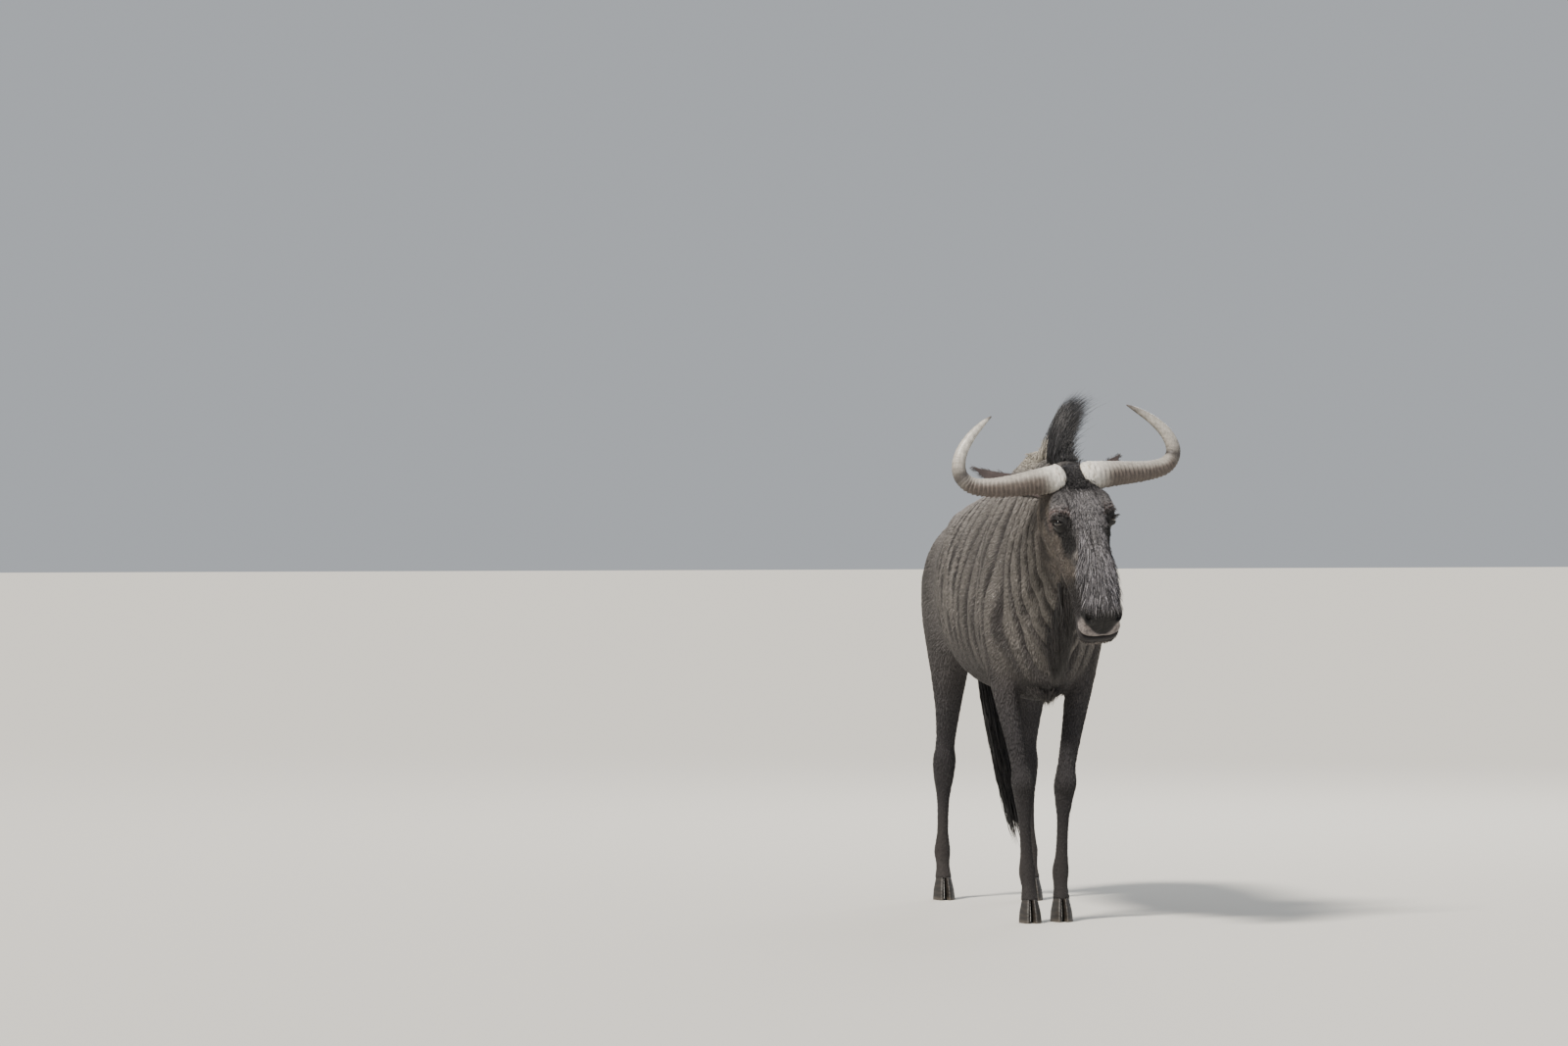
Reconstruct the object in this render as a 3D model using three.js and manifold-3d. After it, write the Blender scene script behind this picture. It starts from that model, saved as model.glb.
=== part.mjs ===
// A life-size blue wildebeest bull, standing still with its head up and turned a little to its left.
// Millimetres, +Z up, the animal faces -Y and its left side is +X. The group's origin is the middle
// of the model's box on the floor. Every flesh piece is a loft through a few measured sections.
import * as THREE from "three";
import { LoftGeometry } from "three/addons/geometries/LoftGeometry.js";
import { mergeVertices } from "three/addons/utils/BufferGeometryUtils.js";
import Module from "manifold-3d";

const wasm = await Module();
wasm.setup();

// Driving sizes
const GAP = 0.3; // clearance between neighbouring pieces
const POLL = [4, -985, 1352]; // top of the skull between the horns
const FACE_PITCH = 69; // degrees that the face drops below the horizontal
const FACE_YAW = 12; // degrees that the face turns to the animal's left
const FACE_ROLL = 4.4; // degrees that the left horn is carried above the right one
const SHOULDER_CUT = -150; // y of the joint between shoulders and barrel
const LOIN_CUT = 300; // y of the joint between barrel and hindquarters
const NECK_CUT = { y: -560, z: 1080 }; // the middle of the joint between neck and shoulders
const FORELEG_CUT = 752; // height at which a foreleg leaves the chest
const HINDLEG_CUT = 765; // height at which a hind leg leaves the haunch
const CORONET = 68; // height of the top of each hoof
const CARPUS_CUT = 362; // height of the joint below the carpus
const HOCK_CUT = 372; // height of the joint below the hock
const EYE = { at: [76, 145, -2], radius: 20 }; // in the head's frame

const X = new THREE.Vector3(1, 0, 0);
const Y = new THREE.Vector3(0, 1, 0);
const Z = new THREE.Vector3(0, 0, 1);
const FORWARD = new THREE.Vector3(0, -1, 0);

// A value or a list of values on a smooth curve through the given stations, at share t of its length.
function along(stations, t) {
  const last = stations.length - 1;
  const place = Math.min(Math.max(t, 0), 1) * last;
  const i = Math.min(Math.floor(place), last - 1);
  const f = place - i;
  const [a, b, c, d] = [i - 1, i, i + 1, i + 2].map((k) => stations[Math.min(Math.max(k, 0), last)]);
  const ease = (p, q, r, s) =>
    q + 0.5 * f * (r - p + f * (2 * p - 5 * q + 4 * r - s + f * (3 * (q - r) + s - p)));
  return b.map((_, k) => ease(a[k], b[k], c[k], d[k]));
}

// One ring of a body section. up and down are its two half heights, and roof and keel say how round
// they are: 2 is an ellipse, less is pinched and more is boxy.
function ring(centre, side, up, down, roof, keel, sideAxis, upAxis, count) {
  const points = [];
  for (let i = 0; i < count; i++) {
    const angle = (2 * Math.PI * (i + 0.5)) / count;
    const [c, s] = [Math.cos(angle), Math.sin(angle)];
    const power = 2 / (s > 0 ? roof : keel);
    const across = side * Math.sign(c) * Math.abs(c) ** power;
    const height = (s > 0 ? up : -down) * Math.abs(s) ** power;
    points.push(centre.clone().addScaledVector(sideAxis, across).addScaledVector(upAxis, height));
  }
  return points;
}

// A loft through closed sections, whichever way round their points run.
function loft(sections) {
  const middle = (s) => s.reduce((a, p) => a.add(p), new THREE.Vector3()).divideScalar(s.length);
  const [first, second] = sections.slice(0, 2).map(middle);
  const normal = new THREE.Vector3();
  const ends = sections[0].map((p) => p.clone().sub(first));
  ends.forEach((p, i) => normal.add(new THREE.Vector3().crossVectors(p, ends[(i + 1) % ends.length])));
  const turned = normal.dot(second.sub(first)) < 0;
  const made = turned ? sections.map((s) => [...s].reverse()) : sections;
  return new LoftGeometry(made, { capStart: true, capEnd: true });
}

// A flesh form through stations of [x, y, z, side, up, down, roof, keel].
function fleshLoft(stations, { sideAxis, upAxis, rings, count, grow = 0 }) {
  const sections = [];
  for (let i = 0; i <= rings; i++) {
    const [x, y, z, side, up, down, roof, keel] = along(stations, i / rings);
    sections.push(
      ring(
        new THREE.Vector3(x, y, z),
        side + grow,
        up + grow,
        down + grow,
        roof,
        keel,
        sideAxis,
        upAxis,
        count,
      ),
    );
  }
  return loft(sections);
}

// A closed geometry as a manifold-3d solid, turned to face outwards.
function solid(geometry) {
  const bare = new THREE.BufferGeometry();
  bare.setAttribute("position", geometry.getAttribute("position"));
  if (geometry.index) bare.setIndex(geometry.index);
  const merged = mergeVertices(bare, 1e-3);
  const corners = [];
  for (let i = 0; i < merged.index.count; i += 3) {
    const [a, b, c] = [0, 1, 2].map((k) => merged.index.getX(i + k));
    if (a !== b && b !== c && c !== a) corners.push(a, b, c);
  }
  const make = (triVerts) =>
    new wasm.Manifold(
      new wasm.Mesh({ numProp: 3, vertProperties: merged.attributes.position.array, triVerts }),
    );
  const made = make(new Uint32Array(corners));
  if (made.volume() > 0) return made;
  for (let i = 0; i < corners.length; i += 3) [corners[i], corners[i + 1]] = [corners[i + 1], corners[i]];
  return make(new Uint32Array(corners));
}

// The largest closed surface of a solid, without loose scraps.
function largest(made) {
  return made.decompose().reduce((best, each) => (each.volume() > best.volume() ? each : best));
}

// One solid from several that overlap
function joined(list) {
  return wasm.Manifold.union(list);
}

// What lies on the side that normal points to of a plane through point, half a gap clear of it.
function beyond(made, normal, point) {
  const n = normal.clone().normalize();
  return made.trimByPlane(n.toArray(), n.dot(point) + GAP / 2);
}

function above(made, height) {
  return beyond(made, Z, new THREE.Vector3(0, 0, height));
}

function below(made, height) {
  return beyond(made, Z.clone().negate(), new THREE.Vector3(0, 0, height));
}

// A stretched ball, carried by a matrix if one is given
function ellipsoid(centre, radii, matrix = null, detail = [10, 7]) {
  const made = new THREE.SphereGeometry(1, ...detail).scale(...radii).translate(...centre);
  return matrix ? made.applyMatrix4(matrix) : made;
}

const mirrored = (geometry) => geometry.clone().scale(-1, 1, 1);

// Repeatable random draws, so that each build is the same.
let drawState = 20;
function draw(low, high) {
  drawState = (drawState * 1664525 + 1013904223) % 4294967296;
  return low + ((high - low) * drawState) / 4294967296;
}

// A flat, tapered lock of hair that leaves its root along a curve and ends in a point.
function lock({ root, bend, tip, broad, width, thick }) {
  const path = new THREE.QuadraticBezierCurve3(root, bend, tip);
  const widths = [0.6, 1, 0.75, 0.06];
  const sections = widths.map((share, i) => {
    const t = i / (widths.length - 1);
    const centre = path.getPoint(t);
    const tangent = path.getTangent(t);
    const flat = new THREE.Vector3().crossVectors(tangent, broad).normalize();
    const wide = new THREE.Vector3().crossVectors(flat, tangent).normalize();
    const [w, h] = [(width / 2) * share, (thick / 2) * Math.max(share, 0.2)];
    return [
      [-w, -h / 2],
      [w, -h / 2],
      [0, h],
    ].map(([a, b]) => centre.clone().addScaledVector(wide, a).addScaledVector(flat, b));
  });
  return solid(loft(sections));
}

// The trunk, from the front of the chest to the buttocks
const TRUNK = [
  [0, -650, 940, 50, 110, 100, 2, 2],
  [0, -600, 940, 104, 260, 212, 1.9, 2],
  [0, -490, 935, 158, 455, 262, 1.5, 1.9],
  [0, -345, 945, 188, 480, 283, 1.35, 2.1],
  [0, -150, 965, 212, 400, 295, 1.6, 2.3],
  [0, 50, 990, 226, 318, 306, 1.85, 2.5],
  [0, 220, 1005, 222, 280, 290, 1.9, 2.4],
  [0, 370, 1020, 205, 252, 245, 1.85, 2.2],
  [0, 520, 1030, 180, 222, 175, 1.8, 2],
  [0, 640, 1030, 128, 150, 125, 1.9, 2],
  [0, 700, 1020, 55, 70, 70, 2, 2],
];

function trunk(grow = 0) {
  return solid(fleshLoft(TRUNK, { sideAxis: X, upAxis: Z, rings: 22, count: 24, grow }));
}

// The neck, from inside the shoulders to the back of the skull
const NECK = [
  [0, -430, 1080, 156, 332, 320, 1.5, 2],
  [0, -560, 1070, 142, 337, 330, 1.45, 2],
  [0, -680, 1110, 117, 280, 290, 1.5, 1.8],
  [2, -780, 1155, 100, 226, 250, 1.6, 1.6],
  [6, -870, 1185, 90, 180, 196, 1.8, 1.7],
  [10, -940, 1210, 78, 134, 136, 2, 1.9],
  [12, -980, 1225, 50, 80, 80, 2, 2],
];

function neckForm(grow = 0) {
  return solid(fleshLoft(NECK, { sideAxis: X, upAxis: Z, rings: 12, count: 20, grow }));
}

// A foreleg from the top of the shoulder blade to the coronet, for the animal's left side
const FORELEG = [
  [30, -322, 1350, 20, 80, 70, 2, 2],
  [66, -340, 1260, 50, 118, 120, 2, 2],
  [100, -385, 1120, 68, 134, 150, 2, 2],
  [116, -425, 980, 70, 122, 156, 2, 2],
  [120, -436, 850, 62, 94, 126, 2, 2],
  [118, -430, 760, 50, 66, 84, 2, 2],
  [104, -436, 650, 38, 46, 44, 2, 2],
  [86, -446, 550, 31, 36, 34, 2, 2],
  [72, -452, 470, 29, 30, 30, 2, 2],
  [66, -458, 415, 35, 37, 33, 2.3, 2.2],
  [63, -454, 368, 29, 27, 29, 2.2, 2],
  [60, -450, 300, 21, 20, 24, 2, 2],
  [56, -450, 215, 21, 19, 24, 2, 2],
  [53, -448, 152, 27, 24, 33, 2, 2],
  [51, -460, 106, 23, 21, 25, 2, 2],
  [50, -474, 66, 28, 29, 29, 2, 2],
];

// A hind leg from the hip to the coronet, for the animal's left side
const HINDLEG = [
  [66, 500, 1196, 38, 78, 74, 2, 2],
  [104, 508, 1118, 78, 128, 122, 2, 2],
  [124, 515, 1005, 90, 152, 152, 2, 2],
  [128, 508, 890, 86, 156, 146, 2, 2],
  [130, 494, 795, 72, 128, 122, 2, 2],
  [130, 500, 705, 56, 88, 88, 2, 2],
  [128, 528, 620, 43, 58, 60, 2, 2],
  [127, 562, 540, 34, 42, 48, 2, 1.8],
  [127, 588, 482, 31, 36, 50, 2, 1.6],
  [127, 600, 435, 37, 39, 48, 2.2, 1.7],
  [128, 602, 385, 33, 33, 35, 2.2, 2],
  [130, 598, 318, 23, 23, 25, 2, 2],
  [132, 593, 222, 20, 21, 24, 2, 2],
  [133, 588, 155, 27, 25, 33, 2, 2],
  [133, 574, 108, 23, 21, 25, 2, 2],
  [133, 558, 66, 28, 29, 29, 2, 2],
];

// How far each foot stands from its mirrored place, fading out above the elbow or the stifle
const STANCE = {
  fore_left: { table: FORELEG, side: 1, shift: [8, 24] },
  fore_right: { table: FORELEG, side: -1, shift: [4, -26] },
  hind_left: { table: HINDLEG, side: 1, shift: [0, -46] },
  hind_right: { table: HINDLEG, side: -1, shift: [-4, 18] },
};
const STANCE_TOP = 880; // height at which the stance starts to move a leg

function legStations({ table, side, shift }) {
  return table.map(([x, y, z, ...sizes]) => {
    const share = Math.min(Math.max((STANCE_TOP - z) / STANCE_TOP, 0), 1);
    return [side * x + shift[0] * share, y + shift[1] * share, z, ...sizes];
  });
}

function legForm(stance, grow = 0) {
  return solid(
    fleshLoft(legStations(stance), { sideAxis: X, upAxis: FORWARD, rings: 26, count: 10, grow }),
  );
}

// The head is made in its own frame: x to its left, y down the face from the poll to the nose, and
// z out of the forehead.
const HEAD_FRAME = new THREE.Matrix4();
{
  const degree = Math.PI / 180;
  const face = new THREE.Vector3(0, -Math.cos(FACE_PITCH * degree), -Math.sin(FACE_PITCH * degree));
  const brow = new THREE.Vector3(0, -Math.sin(FACE_PITCH * degree), Math.cos(FACE_PITCH * degree));
  HEAD_FRAME.makeBasis(X, face, brow);
  HEAD_FRAME.premultiply(new THREE.Matrix4().makeRotationY(-FACE_ROLL * degree));
  HEAD_FRAME.premultiply(new THREE.Matrix4().makeRotationZ(FACE_YAW * degree));
  HEAD_FRAME.premultiply(new THREE.Matrix4().makeTranslation(...POLL));
}
const inHead = (x, y, z) => new THREE.Vector3(x, y, z).applyMatrix4(HEAD_FRAME);

const SKULL = [
  [0, -62, -85, 34, 36, 40, 2, 2],
  [0, -40, -82, 62, 68, 72, 2, 2],
  [0, 15, -80, 82, 94, 100, 2.2, 2],
  [0, 75, -78, 94, 112, 130, 2.7, 1.9],
  [0, 140, -76, 95, 116, 134, 2.8, 1.8],
  [0, 205, -72, 80, 112, 120, 2.5, 1.7],
  [0, 280, -64, 69, 102, 102, 2.1, 1.8],
  [0, 350, -58, 62, 88, 86, 2.1, 2],
  [0, 412, -58, 62, 72, 68, 2.3, 2.2],
  [0, 450, -66, 65, 54, 54, 2.4, 2.3],
  [0, 476, -84, 60, 34, 32, 2.4, 2.3],
  [0, 490, -92, 42, 15, 16, 2.3, 2.2],
];

function headForm(grow = 0) {
  const skull = fleshLoft(SKULL, { sideAxis: X, upAxis: Z, rings: 17, count: 18, grow });
  const bumps = [
    ellipsoid([58, 114, -8], [43 + grow, 72 + grow, 40 + grow], null, [12, 8]), // brow over each eye
    ellipsoid([56, 95, -125], [32 + grow, 82 + grow, 62 + grow], null, [10, 7]), // cheek
    ellipsoid([41, 428, -26], [25 + grow, 32 + grow, 26 + grow], null, [10, 7]), // nostril wing
  ];
  const pieces = [skull, ...bumps, ...bumps.map(mirrored)];
  pieces.push(ellipsoid([0, 462, -98], [40 + grow, 26 + grow, 16 + grow], null, [10, 6])); // chin
  return joined(pieces.map((g) => solid(g.applyMatrix4(HEAD_FRAME))));
}

// The horn's middle line in the head's frame, with its radius, for the animal's left side
const HORN = [
  [18, 0, -6, 24],
  [34, 2, -8, 40],
  [82, 4, -14, 40],
  [136, 4, -24, 36],
  [192, 4, -38, 32],
  [248, 0, -50, 28],
  [298, -12, -58, 25],
  [328, -38, -58, 22.5],
  [336, -72, -50, 20.5],
  [322, -114, -38, 18],
  [288, -156, -26, 14],
  [246, -190, -18, 8.5],
  [216, -209, -15, 2],
];
const HORN_RINGS = { until: 0.45, count: 7, depth: 1.6 }; // the ridges that cross the horn's base

const LEFT_SWELL = [17, -13]; // how much farther out and up the left horn bends than the right one
const RIGHT_START = [15, 15, 6]; // how much farther from the middle the right horn's boss starts

function hornForm(side, grow = 0) {
  const swell = (i) => (side > 0 ? Math.sin((Math.PI * i) / (HORN.length - 1)) ** 2 : 0);
  const curve = new THREE.CatmullRomCurve3(
    HORN.map(([x, y, z], i) => {
      const [out, up] = LEFT_SWELL.map((v) => v * swell(i));
      const start = side < 0 ? (RIGHT_START[i] ?? 0) : 0;
      return new THREE.Vector3(side * (x + out + start), y + up, z);
    }),
    false,
    "catmullrom",
    0.5,
  );
  const steps = 32;
  const sections = [];
  for (let i = 0; i <= steps; i++) {
    const t = i / steps;
    const centre = curve.getPoint(t);
    const tangent = curve.getTangent(t);
    const flat = new THREE.Vector3().crossVectors(tangent, Z).normalize();
    const out = new THREE.Vector3().crossVectors(flat, tangent);
    const radius = along(HORN, t)[3];
    const fade = Math.max(0, 1 - t / HORN_RINGS.until);
    const turn = (2 * Math.PI * HORN_RINGS.count * t) / HORN_RINGS.until;
    const ridge = HORN_RINGS.depth * fade * Math.cos(turn);
    const size = radius + ridge + grow;
    if (i === 0) centre.addScaledVector(tangent, -grow);
    sections.push(ring(centre, size, size, size, 2, 2, flat, out, 10));
  }
  return solid(loft(sections).applyMatrix4(HEAD_FRAME));
}

// An ear is a leaf rolled into a cup, from its root below the horn to its tip
const EAR = { root: [66, 22, -98], tip: [240, -118, -190], wide: 40, wall: 4.5 };

function earForm(side) {
  const root = new THREE.Vector3(side * EAR.root[0], EAR.root[1], EAR.root[2]);
  const tip = new THREE.Vector3(side * EAR.tip[0], EAR.tip[1], EAR.tip[2]);
  const axis = tip.clone().sub(root).normalize();
  const back = new THREE.Vector3(0, 0.25, -1).normalize();
  const wide = new THREE.Vector3().crossVectors(axis, back).normalize();
  const deep = new THREE.Vector3().crossVectors(wide, axis).normalize().multiplyScalar(-1);
  const profile = [
    [0.5, 1],
    [0.62, 1.15],
    [0.95, 0.95],
    [1, 0.7],
    [0.82, 0.5],
    [0.5, 0.36],
    [0.1, 0.12],
  ];
  const [steps, half] = [7, 4];
  const sections = [];
  for (let i = 0; i <= steps; i++) {
    const t = i / steps;
    const [share, curl] = along(profile, t);
    const radius = EAR.wide * share;
    const centre = root.clone().lerp(tip, t);
    const points = [];
    const wall = Math.min(EAR.wall, radius * 0.5);
    for (const [r, order] of [
      [radius, 1],
      [radius - wall, -1],
    ])
      for (let k = -half; k <= half; k++) {
        const angle = ((order * k) / half) * 1.9 * Math.min(curl, 1);
        const flat = Math.sin(angle / 1.25) * r;
        const cup = Math.cos(angle) * r * 0.7 * curl;
        points.push(centre.clone().addScaledVector(wide, flat).addScaledVector(deep, -cup));
      }
    sections.push(points);
  }
  return solid(loft(sections).applyMatrix4(HEAD_FRAME));
}

// Lids close round each eye, and leave an almond opening that faces out and a little forward.
const LID = { wall: 5, opening: [26, 19, 9.5], out: 26 };

function eyeAxis(side) {
  return new THREE.Vector3(side * 0.86, 0.08, 0.5).normalize();
}

// Turns a shape's x axis to axis and its z axis across up, and moves it to centre
function aimed(geometry, axis, up, centre) {
  const across = new THREE.Vector3().crossVectors(up, axis).normalize();
  const level = new THREE.Vector3().crossVectors(axis, across);
  const turn = new THREE.Matrix4().makeBasis(axis, level, across).setPosition(centre);
  return geometry.applyMatrix4(turn);
}

function eyeForm(side, grow = 0) {
  const [x, y, z] = EYE.at;
  const radius = EYE.radius + grow;
  return solid(ellipsoid([side * x, y, z], [radius, radius, radius], HEAD_FRAME, [11, 7]));
}

function lidOpening(side) {
  const [x, y, z] = EYE.at;
  const axis = eyeAxis(side);
  const centre = new THREE.Vector3(side * x, y, z).addScaledVector(axis, LID.out);
  const almond = aimed(ellipsoid([0, 0, 0], LID.opening, null, [8, 6]), axis, Z, centre);
  return solid(almond.applyMatrix4(HEAD_FRAME));
}

function lidForm(side) {
  const [x, y, z] = EYE.at;
  const radius = EYE.radius + LID.wall;
  return solid(ellipsoid([side * x, y, z], [radius, radius + 3, radius], HEAD_FRAME, [10, 6]));
}

// The nostrils open to the front and the side of the nose pad.
const NOSTRIL = { at: [47, 440, -16], radii: [15, 11, 7] };

function nostrilCut(side) {
  const axis = new THREE.Vector3(side * 0.62, 0.55, 0.56).normalize();
  const up = new THREE.Vector3(side * -0.5, 0.7, 0.5).normalize();
  const [x, y, z] = NOSTRIL.at;
  const centre = new THREE.Vector3(side * x, y, z);
  const cut = aimed(ellipsoid([0, 0, 0], NOSTRIL.radii, null, [8, 5]), axis, up, centre);
  return solid(cut.applyMatrix4(HEAD_FRAME));
}

// The line of the mouth is a groove round the muzzle that rises a little to the front.
const MOUTH = { at: [0, 398, -68], radii: [84, 120, 3.2], rise: 6, depth: 7 };

function mouthGroove() {
  const plate = new THREE.SphereGeometry(1, 14, 4).scale(...MOUTH.radii);
  const place = plate.getAttribute("position");
  for (let i = 0; i < place.count; i++) {
    const [y, z] = [place.getY(i), place.getZ(i)];
    place.setZ(i, z + (MOUTH.rise * y) / MOUTH.radii[1]);
  }
  plate.translate(...MOUTH.at);
  const inner = fleshLoft(SKULL, { sideAxis: X, upAxis: Z, rings: 10, count: 10, grow: -MOUTH.depth });
  return solid(plate.applyMatrix4(HEAD_FRAME)).subtract(solid(inner.applyMatrix4(HEAD_FRAME)));
}

// A cloven hoof: two claws side by side, cut level on the ground
const HOOF = { length: 74, width: 33, top: CORONET + 2 };

function hoofForm(centre) {
  const claws = [-1, 1].map((side) => {
    const sections = [];
    const profile = [
      [0, 1, 1],
      [0.45, 0.94, 0.92],
      [1, 0.72, 0.68],
    ];
    for (const [t, long, wide] of profile) {
      const z = HOOF.top * t;
      const slope = (1 - t) * 12;
      const points = [];
      for (let i = 0; i < 8; i++) {
        const angle = (2 * Math.PI * (i + 0.5)) / 8;
        const [c, s] = [Math.cos(angle), Math.sin(angle)];
        const forward = s * (HOOF.length / 2) * long * (s > 0 ? 1.15 : 0.85);
        const pinch = 1 - 0.35 * Math.max(0, s);
        const across = c * (HOOF.width / 2) * wide * pinch * (c * side < 0 ? 0.92 : 1.1);
        const x = side * (HOOF.width / 2 + 0.5) * wide + across - side * Math.max(0, forward) * 0.1;
        points.push(new THREE.Vector3(centre[0] + x, centre[1] - forward - slope, z));
      }
      sections.push(points);
    }
    return solid(loft(sections));
  });
  const pad = solid(ellipsoid([centre[0], centre[1] + 2, HOOF.top - 6], [20, 20, 17], null, [8, 5]));
  return joined([...claws, pad]);
}

// The tail hangs from the croup and swings over to the animal's left.
const TAIL = [
  [0, 690, 1085, 22, 26, 26, 2, 2],
  [0, 734, 1078, 22, 24, 24, 2, 2],
  [1, 760, 1035, 19, 20, 20, 2, 2],
  [4, 774, 960, 16, 16, 16, 2, 2],
  [10, 780, 880, 14, 14, 14, 2, 2],
  [20, 780, 800, 15, 15, 15, 2, 2],
  [35, 774, 700, 19, 19, 19, 2, 2],
  [56, 762, 580, 21, 21, 21, 2, 2],
  [80, 746, 450, 19, 19, 19, 2, 2],
  [102, 730, 330, 13, 13, 13, 2, 2],
  [118, 718, 240, 4, 4, 4, 2, 2],
];
const TAIL_TUFT = 860; // height at which the long hair of the tail starts

function tailForm(grow = 0) {
  return solid(fleshLoft(TAIL, { sideAxis: X, upAxis: FORWARD, rings: 18, count: 8, grow }));
}

// The height of the ridge or the keel of a body part at y, read from its stations
function profileAt(table, y, upwards) {
  for (let i = 0; i < 60; i++) {
    const [x, here, z, , up, down] = along(table, i / 60);
    const [, next] = along(table, (i + 1) / 60);
    if ((here - y) * (next - y) <= 0) return [x, upwards ? z + up : z - down];
  }
  return [0, 0];
}

const between = (a, b, t) => a + (b - a) * t;
const spot = (x, y, z) => new THREE.Vector3(x, y, z);

// The mane stands up on the neck like a plume. Towards the withers it drops over to the left.
const MANE = { locks: 30, from: -815, to: -335, length: [62, 180], width: [32, 42] };

function maneLocks() {
  const made = [];
  for (let i = 0; i < MANE.locks; i++) {
    const t = i / (MANE.locks - 1);
    const y = between(MANE.from, MANE.to, t);
    const [x, top] = y < -480 ? profileAt(NECK, y, true) : profileAt(TRUNK, y, true);
    const plume = Math.sin(Math.PI * Math.min(1, 0.06 + t * 1.05)) ** 0.7;
    const length = between(...MANE.length, plume) * draw(0.88, 1.06);
    const fall = Math.min(1, Math.max(0, (t - 0.58) / 0.2));
    const lean = between(0.1 + 0.34 * plume, 0.75, fall) + draw(-0.12, 0.14);
    const rise = between(0.98, 0.2, fall);
    const root = spot(x + (i % 2 ? 8 : -6), y, top - 26);
    const back = between(0.02, 0.4, t);
    const skin = root.z + 26;
    const bend = spot(root.x + length * lean * 0.12, y + length * back * 0.4, skin + length * 0.5 * rise);
    const tip = spot(root.x + length * lean, y + length * back, skin + length * (rise - fall * 0.95));
    made.push(lock({ root, bend, tip, broad: Y, width: draw(...MANE.width), thick: 9 }));
  }
  return made;
}

// The beard hangs in three rows from the chin, the throat and the keel of the neck.
const BEARD = {
  locks: 9,
  rows: [-17, 0, 17],
  from: -900,
  to: -690,
  length: [105, 160],
  width: [32, 42],
};

function beardLocks() {
  const made = [];
  for (const row of BEARD.rows)
    for (let i = 0; i < BEARD.locks; i++) {
      const t = i / (BEARD.locks - 1);
      const y = between(BEARD.from, BEARD.to, t) + draw(-5, 5);
      const [x, keel] = profileAt(NECK, y, false);
      const length = between(...BEARD.length, Math.sin(Math.PI * t)) * draw(0.82, 1.1) - Math.abs(row);
      const root = spot(x + row, y, keel + 24 + Math.abs(row) * 0.9);
      const bend = spot(root.x + row * 0.15, y - 8, keel - length * 0.45);
      const tip = spot(root.x * 0.6 + draw(-8, 8), y + draw(6, 22), keel - length);
      made.push(lock({ root, bend, tip, broad: Y, width: draw(...BEARD.width), thick: 8 }));
    }
  for (let i = 0; i < 8; i++) {
    const [x, y] = [((i % 3) - 1) * 20, between(235, 415, i / 7)];
    const root = inHead(x, y, -118);
    const tip = inHead(x * 0.7, y, -158);
    tip.z -= between(95, 45, i / 7) * draw(0.85, 1.1);
    const bend = inHead(x, y, -178);
    made.push(lock({ root, bend, tip, broad: Y, width: 26, thick: 8 }));
  }
  return made;
}

// A small dark tuft hangs from the brisket.
function brisketLocks() {
  return [-12, 0, 12].map((x, i) => {
    const y = -545 + i * 10;
    return lock({
      root: spot(x, y, 712),
      bend: spot(x, y - 6, 665),
      tip: spot(x * 0.4, y + 8, 636 + i * 3),
      broad: Y,
      width: 30,
      thick: 10,
    });
  });
}

// The long hair of the tail leaves the dock all round and hangs along it.
const TUFT = { locks: 20, length: [200, 260], spread: 38, width: [36, 46] };

function tuftLocks() {
  const made = [];
  for (let i = 0; i < TUFT.locks; i++) {
    const t = between(0.42, 0.9, (i + draw(0, 0.6)) / TUFT.locks);
    const angle = i * 2.4;
    const out = spot(Math.cos(angle), Math.sin(angle), 0);
    const [x, y, z] = along(TAIL, t);
    const [nx, ny, nz] = along(TAIL, t + 0.05);
    const hang = spot(nx - x, ny - y, nz - z).normalize();
    const length = between(...TUFT.length, Math.sin(Math.PI * t)) * draw(0.85, 1.05);
    const root = spot(x, y, z).addScaledVector(out, 5);
    const share = Math.sin(Math.PI * Math.min(1, (t - 0.3) * 1.35));
    const swell = TUFT.spread * (0.5 + share);
    const bend = root.clone().addScaledVector(hang, length * 0.45).addScaledVector(out, swell);
    const tip = root.clone().addScaledVector(hang, length).addScaledVector(out, TUFT.spread * 0.3);
    const broad = new THREE.Vector3().crossVectors(hang, out).normalize();
    made.push(lock({ root, bend, tip, broad, width: draw(...TUFT.width), thick: 9 }));
  }
  return made;
}

const group = new THREE.Group();

function addNode(name, made, colour, roughness = 0.85) {
  const mesh = largest(made).getMesh();
  const geometry = new THREE.BufferGeometry();
  const places = new THREE.BufferAttribute(new Float32Array(mesh.vertProperties), 3);
  geometry.setAttribute("position", places);
  geometry.setIndex(new THREE.BufferAttribute(new Uint32Array(mesh.triVerts), 1));
  geometry.computeVertexNormals();
  const material = new THREE.MeshStandardMaterial({ color: colour, roughness, metalness: 0 });
  const node = new THREE.Mesh(geometry, material);
  node.name = name;
  group.add(node);
}

const COLOUR = {
  coat: 0x6a655c,
  face: 0x34312f,
  dark: 0x3b3733,
  hair: 0x1b1a1c,
  horn: 0xb8b09a,
  eye: 0x15100d,
  hoof: 0x2a2622,
  ear: 0x6b5650,
};
const SIDES = { left: 1, right: -1 };

// Flesh, joined as one form and then divided by thin cuts
const trunkForm = trunk();
const trunkClear = joined([trunk(GAP), neckForm(GAP)]);
const legs = Object.fromEntries(
  Object.entries(STANCE).map(([name, stance]) => [name, legForm(stance)]),
);
const cutHeight = (name) => (name.startsWith("fore") ? FORELEG_CUT : HINDLEG_CUT);
const upperLegs = Object.entries(legs).map(([name, leg]) => above(leg, cutHeight(name)));

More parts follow.
